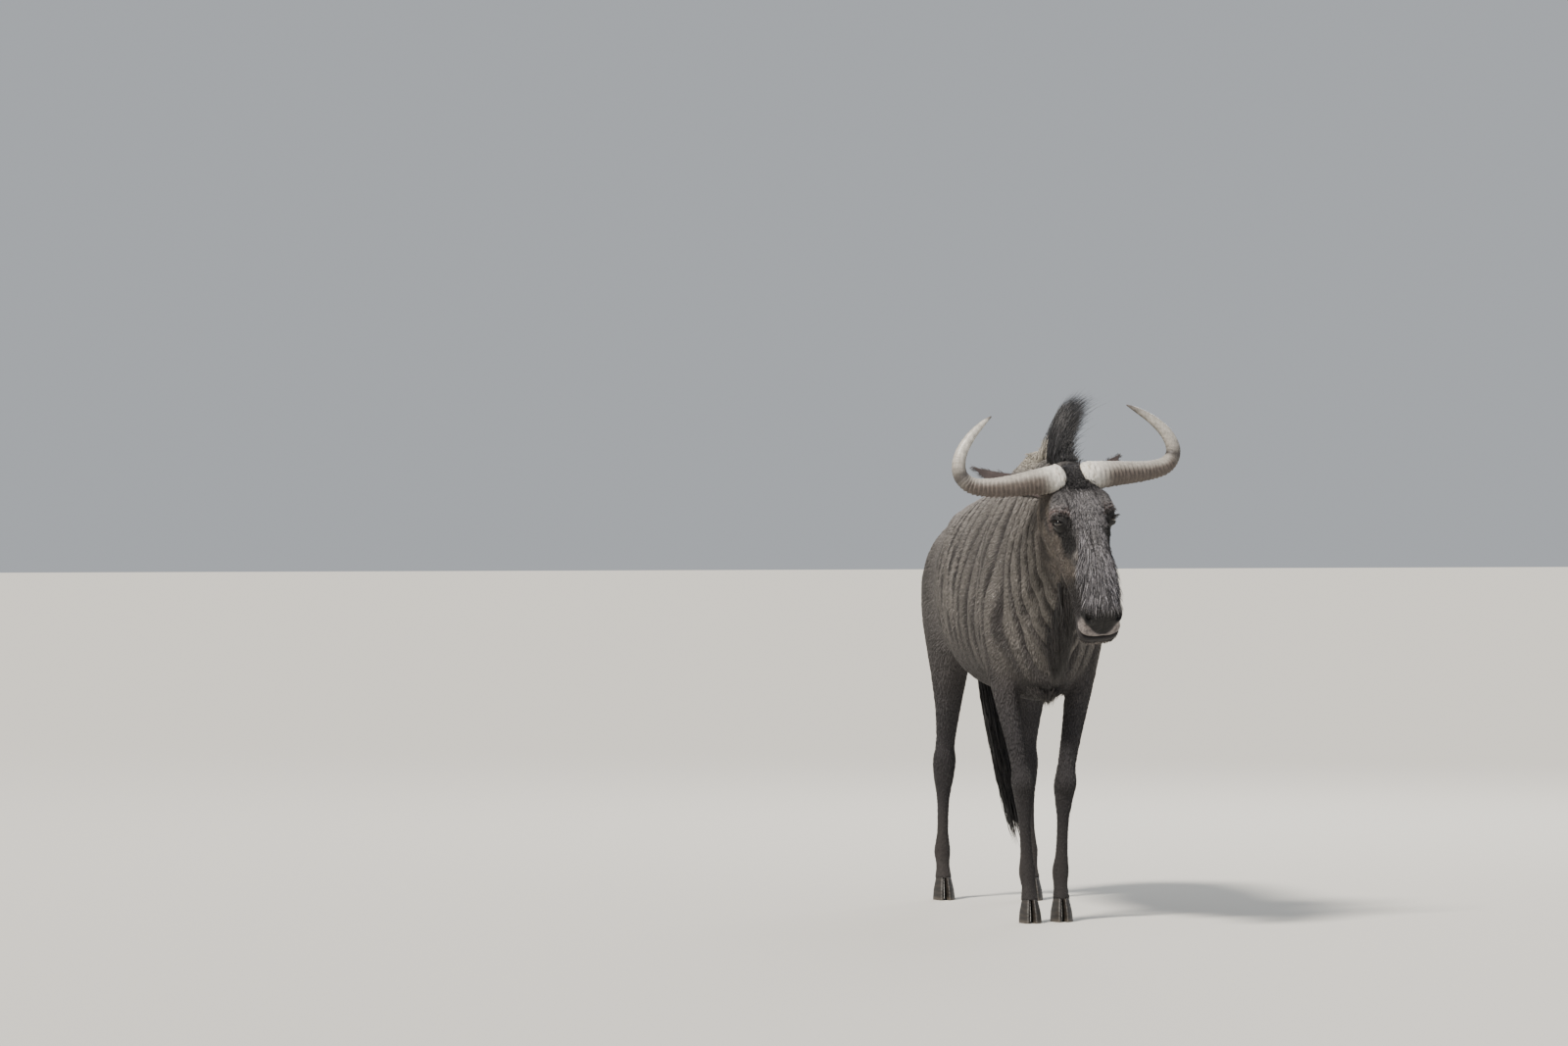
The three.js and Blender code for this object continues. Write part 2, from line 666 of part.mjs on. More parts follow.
let headSolid = headForm();
for (const side of Object.values(SIDES)) {
  headSolid = headSolid.add(lidForm(side)).subtract(lidOpening(side)).subtract(nostrilCut(side));
  headSolid = headSolid.subtract(eyeForm(side, GAP));
}
headSolid = headSolid.subtract(mouthGroove());
const hornClear = joined(Object.values(SIDES).map((side) => hornForm(side, 2 * GAP)));
const hair = [...maneLocks(), ...beardLocks(), ...brisketLocks()];
const body = joined([trunkForm, neckForm(), headSolid, ...upperLegs, ...hair]).subtract(hornClear);

const planes = {
  head: [new THREE.Vector3(0, -0.992, -0.124), new THREE.Vector3(0, -866, 1200)],
  neck: [new THREE.Vector3(0, -0.94, 0.342), new THREE.Vector3(0, NECK_CUT.y, NECK_CUT.z)],
  shoulders: [new THREE.Vector3(0, -1, 0), new THREE.Vector3(0, SHOULDER_CUT, 0)],
  barrel: [new THREE.Vector3(0, -1, 0), new THREE.Vector3(0, LOIN_CUT, 0)],
};
const front = (made, [normal, point]) => beyond(made, normal, point);
const rear = (made, [normal, point]) => beyond(made, normal.clone().negate(), point);

const head = front(body, planes.head);
const neck = front(rear(body, planes.head), planes.neck);
const shoulders = front(rear(rear(body, planes.head), planes.neck), planes.shoulders);
const barrel = front(rear(body, planes.shoulders), planes.barrel);
const haunches = rear(body, planes.barrel).subtract(tailForm(GAP));

addNode("head", head, COLOUR.face);
addNode("neck", neck, COLOUR.coat);
addNode("shoulders", shoulders, COLOUR.coat);
addNode("barrel", barrel, COLOUR.coat);
addNode("haunches", haunches, COLOUR.coat);

for (const [name, leg] of Object.entries(legs)) {
  const joint = name.startsWith("fore") ? CARPUS_CUT : HOCK_CUT;
  const limb = below(leg, cutHeight(name)).subtract(trunkClear);
  addNode("leg_" + name + "_upper", above(limb, joint), COLOUR.dark);
  const stations = legStations(STANCE[name]);
  const [x, y] = stations[stations.length - 1];
  const [fx, fy, fz] = stations[stations.length - 3];
  const dewclaws = [-1, 1].map((side) =>
    solid(ellipsoid([fx + side * 14, fy + 25, fz - 16], [8, 11, 13], null, [7, 5])),
  );
  const lower = joined([below(leg, joint), ...dewclaws]);
  addNode("leg_" + name + "_lower", above(lower, CORONET), COLOUR.dark);
  addNode("hoof_" + name, below(hoofForm([x, y]), CORONET), COLOUR.hoof, 0.5);
}

for (const [name, side] of Object.entries(SIDES)) {
  addNode("eye_" + name, eyeForm(side), COLOUR.eye, 0.1);
  const horn = hornForm(side);
  const outAndUp = new THREE.Vector3(side * 0.7, -0.7, 0).transformDirection(HEAD_FRAME);
  const bend = [outAndUp, inHead(side * 290, -8, -58)];
  addNode("horn_base_" + name, rear(horn, bend), COLOUR.horn, 0.55);
  addNode("horn_tip_" + name, front(horn, bend), COLOUR.horn, 0.5);
  const earClear = joined([headForm(GAP), neckForm(GAP), hornClear]);
  addNode("ear_" + name, earForm(side).subtract(earClear), COLOUR.ear);
}

const tail = tailForm();
addNode("tail_dock", above(tail, TAIL_TUFT), COLOUR.coat);
addNode("tail_tuft", below(joined([tail, ...tuftLocks()]), TAIL_TUFT), COLOUR.hair);

const box = new THREE.Box3().setFromObject(group);
const middle = box.getCenter(new THREE.Vector3());
group.position.set(-middle.x, -middle.y, -box.min.z);

export default group;
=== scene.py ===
# %% [markdown]
# # A blue wildebeest bull, life size
# The animal stands still with its head up and turned a little to its left. The frame brings the
# measured solids, and this lesson dresses them: one skin, a short coat in tufts, a mane, a beard and
# a tail of long hair, horns, ears, eyes and hooves.
# All places are in metres, the animal faces -Y, and its left side is +X.

# %% Load the frame
import math

import bpy
import numpy as np
from mathutils import Matrix, Vector
from mathutils.kdtree import KDTree

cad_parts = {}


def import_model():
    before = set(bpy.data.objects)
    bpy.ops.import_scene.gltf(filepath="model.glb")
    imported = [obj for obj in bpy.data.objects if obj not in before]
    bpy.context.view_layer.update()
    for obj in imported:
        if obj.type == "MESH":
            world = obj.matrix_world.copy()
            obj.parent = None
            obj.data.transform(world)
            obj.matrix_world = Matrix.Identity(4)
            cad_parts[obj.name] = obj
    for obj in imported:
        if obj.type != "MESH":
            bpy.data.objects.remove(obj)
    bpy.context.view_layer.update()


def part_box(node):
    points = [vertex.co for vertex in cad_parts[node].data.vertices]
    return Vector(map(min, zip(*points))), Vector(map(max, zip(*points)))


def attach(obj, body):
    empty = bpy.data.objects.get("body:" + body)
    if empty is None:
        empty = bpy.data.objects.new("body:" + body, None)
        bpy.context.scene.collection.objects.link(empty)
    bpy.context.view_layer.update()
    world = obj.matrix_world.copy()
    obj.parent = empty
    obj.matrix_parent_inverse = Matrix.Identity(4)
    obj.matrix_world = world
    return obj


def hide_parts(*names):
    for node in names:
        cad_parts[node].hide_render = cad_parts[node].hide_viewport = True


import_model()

# %% [markdown]
# The measured sections below share one middle line with the barrel, whose front cut is at a known
# place. The barrel's box therefore tells how far the model was moved to stand in the middle of its
# own box, and every new piece is moved by the same amount.

# %% Where the measured sections stand
BARREL_FRONT = -0.14985  # where the barrel's front cut was measured
barrel_low, barrel_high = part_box("barrel")
SHIFT = np.array([(barrel_low[0] + barrel_high[0]) / 2, barrel_low[1] - BARREL_FRONT, 0.0])
print("sections are moved by", SHIFT.round(4))

# %% [markdown]
# The camera stands 25 m away with a long lens, a little to the animal's right, at a person's eye
# height, as for a photograph of a wild animal. A long lens keeps the head from growing too large.

# %% Camera
camera_data = bpy.data.cameras.new("long_lens")
camera_data.lens = 187.3  # mm, a view of 11 degrees
camera_data.sensor_width = 36.0
camera_data.clip_start = 0.5
camera_data.clip_end = 200.0
camera = bpy.data.objects.new("camera", camera_data)
camera.location = Vector((-4.188, -24.657, 1.70)) + Vector(SHIFT)
camera.rotation_euler = (math.radians(90 - 1.166), 0, math.radians(-8))
bpy.context.collection.objects.link(camera)
bpy.context.scene.camera = camera
print("camera", round((camera.location - Vector(SHIFT)).length, 1), "m from the middle")

# %% [markdown]
# A material is a tree of nodes. One helper adds a node and links it. Another builds the kind of
# material that most of the animal has: a colour painted on the mesh, fine noise over it, and fine
# bumps from the same noise.


# %% Helpers for materials
def linear(code, alpha=1.0):
    """An sRGB hex colour as linear values."""
    parts = [int(code[i : i + 2], 16) / 255 for i in (1, 3, 5)]
    return [c / 12.92 if c <= 0.04045 else ((c + 0.055) / 1.055) ** 2.4 for c in parts] + [alpha]


def add_node(tree, kind, settings=None, links=None):
    """Adds a node, sets its properties and sockets, and links others' outputs to its inputs."""
    node = tree.nodes.new(kind)
    for key, value in (settings or {}).items():
        if isinstance(key, str) and hasattr(node, key):
            setattr(node, key, value)
        else:
            node.inputs[key].default_value = value
    for key, output in (links or {}).items():
        tree.links.new(output, node.inputs[key])
    return node


def new_material(name):
    material = bpy.data.materials.new(name)
    material.use_nodes = True
    tree = material.node_tree
    tree.nodes.clear()
    return material, tree


def close_material(tree, settings, links=None):
    """Ends a material with a Principled shader of these values and links."""
    shader = add_node(tree, "ShaderNodeBsdfPrincipled", settings, links)
    add_node(tree, "ShaderNodeOutputMaterial", links={"Surface": shader.outputs[0]})


def new_object(name, data):
    made = bpy.data.objects.new(name, data)
    bpy.context.collection.objects.link(made)
    return made


def marked_material(name, noise, shade, settings, dull=None, bump=None, stretch=1.0, pores=0):
    """A material coloured by a piece's own markings, with fine noise over them.

    noise gives scale, detail and roughness, where a scale of 200 makes flecks of 5 mm. shade gives
    the noise's spread and the darkest and the lightest share. dull gives the roughness where the
    markings' alpha is 0 and where it is 1. bump gives strength and depth in metres, and pores the
    scale of pits where the alpha is 1.
    """
    material, tree = new_material(name)
    marks = add_node(tree, "ShaderNodeVertexColor", {"layer_name": "markings"}).outputs
    place = add_node(tree, "ShaderNodeTexCoord").outputs["Object"]
    longer = add_node(tree, "ShaderNodeMapping", {"Scale": (1.0, 1.0, stretch)}, {"Vector": place})
    values = dict(zip(("Scale", "Detail", "Roughness"), noise))
    relief = add_node(tree, "ShaderNodeTexNoise", values, {"Vector": longer.outputs[0]}).outputs[0]
    spread, dark, light = shade
    span = {"From Min": 0.5 - spread, "From Max": 0.5 + spread, "To Min": dark, "To Max": light}
    shades = add_node(tree, "ShaderNodeMapRange", span, {0: relief})
    links = {0: marks["Color"], "Scale": shades.outputs[0]}
    tinted = add_node(tree, "ShaderNodeVectorMath", {"operation": "SCALE"}, links)
    links = {"Base Color": tinted.outputs[0]}
    if dull:
        span = {"To Min": dull[0], "To Max": dull[1]}
        links["Roughness"] = add_node(tree, "ShaderNodeMapRange", span, {0: marks["Alpha"]}).outputs[0]
    if pores:
        pits = add_node(tree, "ShaderNodeTexVoronoi", {"Scale": pores}, {"Vector": place})
        both = {0: marks["Alpha"], 2: relief, 3: pits.outputs["Distance"]}
        relief = add_node(tree, "ShaderNodeMix", {"data_type": "FLOAT"}, both).outputs[0]
    if bump:
        raised = {"Strength": bump[0], "Distance": bump[1]}
        links["Normal"] = add_node(tree, "ShaderNodeBump", raised, {"Height": relief}).outputs[0]
    close_material(tree, settings, links)
    return material


# %% [markdown]
# An operator acts on what is selected, so these two helpers pick one piece and run an operator on all
# its faces.


# %% Helpers for meshes
def pick(piece):
    """Makes a piece the only selected one, and the active one."""
    bpy.ops.object.select_all(action="DESELECT")
    piece.select_set(True)
    bpy.context.view_layer.objects.active = piece


def edit(piece, operator, **options):
    """Runs one mesh or UV operator on all of a piece's faces in Edit Mode."""
    pick(piece)
    bpy.ops.object.mode_set(mode="EDIT")
    bpy.ops.mesh.select_all(action="SELECT")
    operator(**options)
    bpy.ops.object.mode_set(mode="OBJECT")


# %% [markdown]
# A pale floor under a pale sky, one soft sun and two weak lamps. The sun stands high in front of the
# animal's right side, as at midday, and its wide disc keeps the shadow edges soft. The lamps and the
# sky only open the shadows.

# %% Floor
bpy.ops.object.select_all(action="DESELECT")
bpy.ops.mesh.primitive_plane_add(size=80)
floor = bpy.context.object
floor.name = "floor"
paper, tree = new_material("matt_paper_floor")
close_material(tree, {"Base Color": linear("#C9C7C1"), "Roughness": 0.95, "IOR": 1.45})
floor.data.materials.append(paper)

# %% Lights
world = bpy.data.worlds.new("studio")
bpy.context.scene.world = world
world.use_nodes = True
world.node_tree.nodes["Background"].inputs["Color"].default_value = linear("#DFE4EA")
world.node_tree.nodes["Background"].inputs["Strength"].default_value = 0.60


def lamp(name, kind, place, power, size, tint):
    """A sun or a square softbox that faces the animal's chest."""
    data = bpy.data.lights.new(name, kind)
    data.energy, data.color = power, linear(tint)[:3]
    if kind == "SUN":
        data.angle = math.radians(size)
    else:
        data.size = size
    made = new_object(name, data)
    made.location = place
    made.rotation_euler = (Vector((0, 0, 0.9)) - Vector(place)).to_track_quat("-Z", "Y").to_euler()


lamp("soft_sun", "SUN", (-5.5, -4.6, 9.0), 6.5, 10, "#FFF7EC")
lamp("front_softbox", "AREA", (4.0, -8.0, 3.0), 90, 4.0, "#EEF2FF")
lamp("back_softbox", "AREA", (2.5, 6.0, 5.0), 240, 3.0, "#FFFFFF")
print("lights:", [light.name for light in bpy.data.lights])

# %% [markdown]
# ## The skin
# The body was measured as sections: a middle point, a half width, and half heights above and below.
# A smooth curve through the sections gives as many rings as the skin needs. The same tables shaped
# the solids, so the skin fits inside them, lower by the depth of the coat.

# %% Measured sections, in millimetres: x, y, z, half width, up, down, roundness of roof and keel
# A row that stops early is a plain ellipse or, with one half width, a circle.
TRUNK = [
    [0, -650, 940, 50, 110, 100],
    [0, -600, 940, 104, 260, 212, 1.9, 2],
    [0, -490, 935, 158, 455, 262, 1.5, 1.9],
    [0, -345, 945, 188, 480, 283, 1.35, 2.1],
    [0, -150, 965, 212, 400, 295, 1.6, 2.3],
    [0, 50, 990, 226, 318, 306, 1.85, 2.5],
    [0, 220, 1005, 222, 280, 290, 1.9, 2.4],
    [0, 370, 1020, 205, 252, 245, 1.85, 2.2],
    [0, 520, 1030, 180, 222, 175, 1.8, 2],
    [0, 640, 1030, 128, 150, 125, 1.9, 2],
    [0, 700, 1020, 55, 70, 70],
]
NECK = [
    [0, -430, 1080, 156, 332, 320, 1.5, 2],
    [0, -560, 1070, 142, 337, 330, 1.45, 2],
    [0, -680, 1110, 117, 280, 290, 1.5, 1.8],
    [2, -780, 1155, 100, 226, 250, 1.6, 1.6],
    [6, -870, 1185, 90, 180, 196, 1.8, 1.7],
    [10, -940, 1210, 78, 134, 136, 2, 1.9],
    [12, -980, 1225, 50, 80, 80],
]
FORELEG = [
    [30, -322, 1350, 20, 80, 70],
    [66, -340, 1260, 50, 118, 120],
    [100, -385, 1120, 68, 134, 150],
    [116, -425, 980, 70, 122, 156],
    [120, -436, 850, 62, 94, 126],
    [118, -430, 760, 50, 66, 84],
    [104, -436, 650, 38, 46, 44],
    [86, -446, 550, 31, 36, 34],
    [72, -452, 470, 29, 30, 30],
    [66, -458, 415, 35, 37, 33, 2.3, 2.2],
    [63, -454, 368, 29, 27, 29, 2.2, 2],
    [60, -450, 300, 21, 20, 24],
    [56, -450, 215, 21, 19, 24],
    [53, -448, 152, 27, 24, 33],
    [51, -460, 106, 23, 21, 25],
    [50, -474, 66, 28, 29, 29],
]
HINDLEG = [
    [66, 500, 1196, 38, 78, 74],
    [104, 508, 1118, 78, 128, 122],
    [124, 515, 1005, 90, 152, 152],
    [128, 508, 890, 86, 156, 146],
    [130, 494, 795, 72, 128, 122],
    [130, 500, 705, 56, 88, 88],
    [128, 528, 620, 43, 58, 60],
    [127, 562, 540, 34, 42, 48, 2, 1.8],
    [127, 588, 482, 31, 36, 50, 2, 1.6],
    [127, 600, 435, 37, 39, 48, 2.2, 1.7],
    [128, 602, 385, 33, 33, 35, 2.2, 2],
    [130, 598, 318, 23, 23, 25],
    [132, 593, 222, 20, 21, 24],
    [133, 588, 155, 27, 25, 33],
    [133, 574, 108, 23, 21, 25],
    [133, 558, 66, 28, 29, 29],
]
SKULL = [
    [0, -62, -85, 34, 36, 40],
    [0, -40, -82, 62, 68, 72],
    [0, 15, -80, 82, 94, 100, 2.2, 2],
    [0, 75, -78, 94, 112, 130, 2.7, 1.9],
    [0, 140, -76, 95, 116, 134, 2.8, 1.8],
    [0, 205, -72, 80, 112, 120, 2.5, 1.7],
    [0, 280, -64, 69, 102, 102, 2.1, 1.8],
    [0, 350, -58, 62, 88, 86, 2.1, 2],
    [0, 412, -58, 62, 72, 68, 2.3, 2.2],
    [0, 450, -66, 65, 54, 54, 2.4, 2.3],
    [0, 476, -84, 60, 34, 32, 2.4, 2.3],
    [0, 490, -92, 42, 15, 16, 2.3, 2.2],
]
TAIL = [
    [0, 690, 1085, 22, 26, 26],
    [0, 734, 1078, 22, 24, 24],
    [1, 760, 1035, 19, 20, 20],
    [4, 774, 960, 16],
    [10, 780, 880, 14],
    [20, 780, 800, 15],
    [35, 774, 700, 19],
    [56, 762, 580, 21],
    [80, 746, 450, 19],
    [102, 730, 330, 13],
    [118, 718, 240, 4],
]
TRUNK, NECK, FORELEG, HINDLEG, SKULL, TAIL = (
    [[*row, row[3], row[3], 2, 2] if len(row) == 4 else [*row, 2, 2][:8] for row in table]
    for table in (TRUNK, NECK, FORELEG, HINDLEG, SKULL, TAIL)
)
STANCE = {
    "fore_left": (FORELEG, 1, 8, 24),
    "fore_right": (FORELEG, -1, 4, -26),
    "hind_left": (HINDLEG, 1, 0, -46),
    "hind_right": (HINDLEG, -1, -4, 18),
}
SIDES = (("left", 1), ("right", -1))
STANCE_TOP = 880  # height at which the stance starts to move a leg
POLL = (4, -985, 1352)  # top of the skull between the horns
FACE_PITCH, FACE_YAW, FACE_ROLL = 69, 12, 4.4  # degrees

# %% [markdown]
# The head has a frame of its own: x to its left, y down the face from the poll to the nose, and z
# out of the forehead. Its matrix carries head millimetres to body millimetres.

# %% The head's own frame
pitch = math.radians(FACE_PITCH)
down_face = Vector((0, -math.cos(pitch), -math.sin(pitch)))
out_of_brow = Vector((0, -math.sin(pitch), math.cos(pitch)))
head_matrix = (
    Matrix.Translation(POLL)
    @ Matrix.Rotation(math.radians(FACE_YAW), 4, "Z")
    @ Matrix.Rotation(-math.radians(FACE_ROLL), 4, "Y")
    @ Matrix((Vector((1, 0, 0)), down_face, out_of_brow)).transposed().to_4x4()
)
HEAD = np.array(head_matrix)
HEAD_BACK = np.linalg.inv(HEAD)
print("the face runs down along", HEAD[:3, 1].round(2))


def moved(points, matrix):
    """Points carried by a matrix."""
    return points @ matrix[:3, :3].T + matrix[:3, 3]


# %% [markdown]
# Most shapes and colours below start and end softly. A ramp, a fade, a band and a bell are the four
# soft curves that they use.


# %% Soft curves and vectors
def ramp(value, low, high):
    """0 below low, 1 above high, and a smooth rise between."""
    t = np.clip((value - low) / (high - low), 0, 1)
    return t * t * (3 - 2 * t)


def fade(value, low, high):
    """1 below low, 0 above high, and a smooth fall between."""
    return 1 - ramp(value, low, high)


def band(value, low, full, still, end):
    """A rise from low to full and a fall from still to end."""
    return ramp(value, low, full) * fade(value, still, end)


def bell(value, width):
    """1 at 0, and a smooth fall on both sides."""
    return np.exp(-((value / width) ** 2))


def vectors(*parts):
    """Vectors from arrays or single numbers for their parts."""
    return np.stack(np.broadcast_arrays(*parts), -1)


# %% [markdown]
# A section is an ellipse whose power makes it squarer or more pointed. A smooth curve runs through
# the rows of a table, and a section at each of its places gives the rings.

# %% Rings through the sections
X_AXIS, Z_AXIS = np.array([1.0, 0, 0]), np.array([0, 0, 1.0])
FORWARD = np.array([0, -1.0, 0])


def along(table, t):
    """Values on a smooth curve through the rows of a table, at shares t of its length."""
    rows = np.asarray(table, float)
    last = len(rows) - 1
    place = np.clip(np.atleast_1d(t), 0, 1) * last
    i = np.minimum(place.astype(int), last - 1)
    f = (place - i)[:, None]
    a, b, c, d = (rows[np.clip(i + k, 0, last)] for k in (-1, 0, 1, 2))
    return b + 0.5 * f * (c - a + f * (2 * a - 5 * b + 4 * c - d + f * (3 * (b - c) + d - a)))


def signed_power(value, power):
    return np.sign(value) * np.abs(value) ** power


def section_rings(table, rings, count, side_axis=X_AXIS, up_axis=Z_AXIS, grow=0.0):
    """A grid of points, one row for each ring."""
    rows = along(table, np.linspace(0, 1, rings + 1))
    angle = 2 * np.pi * (np.arange(count) + 0.5) / count
    c, s = np.cos(angle), np.sin(angle)
    side, up, down = (rows[:, k : k + 1] + grow for k in (3, 4, 5))
    power = np.where(s > 0, 2 / rows[:, 6:7], 2 / rows[:, 7:8])
    across = side * signed_power(c, power)
    height = np.where(s > 0, up, down) * signed_power(s, power)
    return rows[:, None, :3] + across[..., None] * side_axis + height[..., None] * up_axis


def ring_faces(rings, count, start=0):
    """Quads between neighbouring rings and a cap at each end."""
    faces = []
    for i in range(rings):
        for j in range(count):
            k = (j + 1) % count
            a, b = start + i * count, start + (i + 1) * count
            faces.append((a + j, a + k, b + k, b + j))
    faces.append(tuple(start + j for j in reversed(range(count))))
    faces.append(tuple(start + rings * count + j for j in range(count)))
    return faces


def leg_table(name):
    """A leg's sections, moved to where its foot stands."""
    table, side, dx, dy = STANCE[name]
    moved_rows = []
    for x, y, z, *sizes in table:
        share = min(max((STANCE_TOP - z) / STANCE_TOP, 0), 1)
        moved_rows.append([side * x + dx * share, y + dy * share, z, *sizes])
    return moved_rows


# %% [markdown]
# The sections overlap where limbs meet the body. Voxel Remesh melts closed shapes that overlap into
# one skin of even quads, which no boolean could give so smoothly.

# %% Melt the sections into one skin
COAT_DEPTH = 3.0  # mm that the skin lies inside the solids
shell_points, shell_faces, started = [], [], 0


def add_shell(points, faces):
    global started
    shell_points.append(points)
    shell_faces.extend([tuple(started + i for i in f) for f in faces])
    started += len(points)


def add_loft(table, rings, count, matrix=None, **options):
    points = section_rings(table, rings, count, **options).reshape(-1, 3)
    add_shell(moved(points, matrix) if matrix is not None else points, ring_faces(rings, count))


def add_ball(centre, radii, matrix=None, rings=14, count=20):
    """A closed rounded lump."""
    t = np.pi * (np.arange(rings + 1) * 0.98 + 0.01 * rings) / rings
    angle = 2 * np.pi * np.arange(count) / count
    wide, tall = np.sin(t)[:, None], np.cos(t)[:, None]
    grid = vectors(wide * np.cos(angle), wide * np.sin(angle), tall).reshape(-1, 3) * radii + centre
    add_shell(moved(grid, matrix) if matrix is not None else grid, ring_faces(rings, count))


add_loft(TRUNK, 70, 56, grow=-COAT_DEPTH)
add_loft(NECK, 40, 48, grow=-COAT_DEPTH)
add_loft(SKULL, 70, 48, HEAD, grow=-1.5)
add_loft(TAIL[:7], 40, 14, side_axis=X_AXIS, up_axis=FORWARD, grow=-2)
for name in STANCE:
    add_loft(leg_table(name), 110, 28, side_axis=X_AXIS, up_axis=FORWARD, grow=-2)
EYE_AT = np.array([76.0, 145.0, -2.0])
for side in (1, -1):
    for centre, radii in (
        ((58, 114, -8), (41, 70, 38)),  # brow
        ((56, 95, -125), (30, 80, 60)),  # cheek
        ((41, 428, -26), (23, 30, 24)),  # nostril wing
        ((76, 145, -2), (23.5, 25, 23.5)),  # lids
    ):
        add_ball(np.array([side * centre[0], centre[1], centre[2]]), np.array(radii), HEAD)
add_ball(np.array([0, 462, -98]), np.array([38, 25, 15]), HEAD)

skin_mesh = bpy.data.meshes.new("skin")
skin_mesh.from_pydata((np.vstack(shell_points) / 1000).tolist(), [], shell_faces)
skin = new_object("skin", skin_mesh)
pick(skin)
skin_mesh.remesh_voxel_size = 0.009
bpy.ops.object.voxel_remesh()
print("melted skin:", len(skin.data.vertices), "points")


# %% [markdown]
# The remesh leaves small steps, and sharp valleys where two shapes meet. Each point moves towards the
# middle of its neighbours, many times on the trunk, where limbs run softly into it. Five gentle rounds
# over the whole skin then take a step back after each step, so that legs and head keep their thickness.


# %% Reading and smoothing the skin
def read(items, key, width=3, kind=float):
    """A property of all vertices, edges or faces as an array with one row each."""
    flat = np.empty(len(items) * width, kind)
    items.foreach_get(key, flat)
    return flat.reshape(-1, width)


def write_points(mesh, points):
    mesh.vertices.foreach_set("co", points.ravel())
    mesh.update()


def relaxed(points, edges, strength, times):
    """Moves each point towards the middle of its neighbours."""
    count = np.bincount(edges.ravel(), minlength=len(points))
    strength = np.broadcast_to(strength, len(points))[:, None]
    for _ in range(times):
        total = np.stack(
            [
                np.bincount(edges[:, 0], points[edges[:, 1], k], len(points))
                + np.bincount(edges[:, 1], points[edges[:, 0], k], len(points))
                for k in range(3)
            ],
            -1,
        )
        points = points + strength * (total / count[:, None] - points)
    return points


points, edges = read(skin.data.vertices, "co"), read(skin.data.edges, "vertices", 2, int)
body_share = ramp(points[:, 2], 0.70, 0.82) * ramp(points[:, 1], -0.80, -0.70)
body_share *= fade(points[:, 1], 0.68, 0.72)
points = relaxed(points, edges, 0.5 * body_share, 46)
for _ in range(5):
    points = relaxed(points, edges, 0.5, 1)
    points = relaxed(points, edges, -0.52, 1)
write_points(skin.data, points)

# %% [markdown]
# The face needs finer quads than the flanks, so only the head's faces are subdivided, and those of
# the eyes, the nostrils and the mouth once more.


# %% Finer quads on the head
def subdivide_where(test):
    """Splits the faces whose middles pass a test, given in head millimetres."""
    mesh = skin.data
    chosen = test(moved(read(mesh.polygons, "center") * 1000, HEAD_BACK))
    bpy.ops.object.mode_set(mode="EDIT")
    bpy.ops.mesh.select_all(action="DESELECT")
    bpy.ops.object.mode_set(mode="OBJECT")
    mesh.polygons.foreach_set("select", chosen)
    bpy.ops.object.mode_set(mode="EDIT")
    bpy.ops.mesh.select_mode(type="FACE")
    bpy.ops.mesh.subdivide(number_cuts=1, smoothness=0.6)
    bpy.ops.object.mode_set(mode="OBJECT")
    print("after subdividing:", len(mesh.polygons), "faces")


def near(places, centre, reach):
    centre = np.array(centre, float)
    mirror = centre * (-1, 1, 1)
    return np.minimum(
        np.linalg.norm(places - centre, axis=1), np.linalg.norm(places - mirror, axis=1)
    ) < reach


def in_head(h):
    return (h[:, 1] > -20) & (h[:, 1] < 560) & (h[:, 2] > -240) & (h[:, 2] < 90)


subdivide_where(lambda h: in_head(h) & (np.abs(h[:, 0]) < 140))
subdivide_where(lambda h: near(h, EYE_AT, 46) | ((h[:, 1] > 392) & in_head(h)))

# %% [markdown]
# ## Sculpting
# Muscles, bones and folds are raised and sunk along the normals, as a sculpting brush does. Each
# stroke is a soft dome round a point, or round a line between two points, on both sides alike.


# %% Sculpting strokes
def folded(places):
    """Places with the right side folded over onto the left."""
    return vectors(np.abs(places[:, 0]), places[:, 1], places[:, 2])


def dome(places, centre, radii):
    """1 at the centre, fading over the radii, mirrored to both sides."""
    q = folded(places) - centre
    return np.exp(-((q / radii) ** 2).sum(1))


def stroke(places, start, end, width):
    """1 along a line, fading over its width, mirrored to both sides."""
    q = folded(places)
    a, b = np.array(start, float), np.array(end, float)
    t = np.clip((q - a) @ (b - a) / ((b - a) @ (b - a)), 0, 1)
    away = np.linalg.norm(q - a - t[:, None] * (b - a), axis=1)
    ends = np.minimum(1, np.minimum(t, 1 - t) * 5 + 0.35)
    return bell(away, width) * ends


def ripple(places, size, seed):
    """A smooth wandering value from -1 to 1 that changes over about the given size."""
    rng = np.random.default_rng(seed)
    total = np.zeros(len(places))
    for _ in range(7):
        direction = rng.normal(size=3)
        direction /= np.linalg.norm(direction)
        pace = 2 * np.pi / (size * rng.uniform(0.7, 1.6))
        total += np.sin(places @ direction * pace + rng.uniform(0, 6.28))
    return total / 3.2


# %% [markdown]
# The dark brindle stripes lie on low folds of the skin. One wave along the body gives both, so that
# colour and fold agree. It wanders and breaks off, because no real stripe runs straight.


# %% Stripes of the neck, shoulder and flank
def stripe_wave(body):
    """Where the dark upright stripes run: 1 in the middle of a stripe, 0 between two."""
    x, y, z = body.T
    wander = 14 * ripple(body * (1, 1, 0.45), 260, 5) + 5 * ripple(body * (1, 1, 0.5), 90, 6)
    place = y + 0.10 * (z - 1000) + wander + 9 * np.sign(x) * np.sin(z / 130)
    gap = np.where(place < -500, 62, 78)  # mm from stripe to stripe, on the neck and behind it
    phase = (place + 500) / gap
    wave = np.cos(2 * np.pi * phase)
    return np.clip((wave - 0.15) / 0.85, 0, 1) ** 1.1


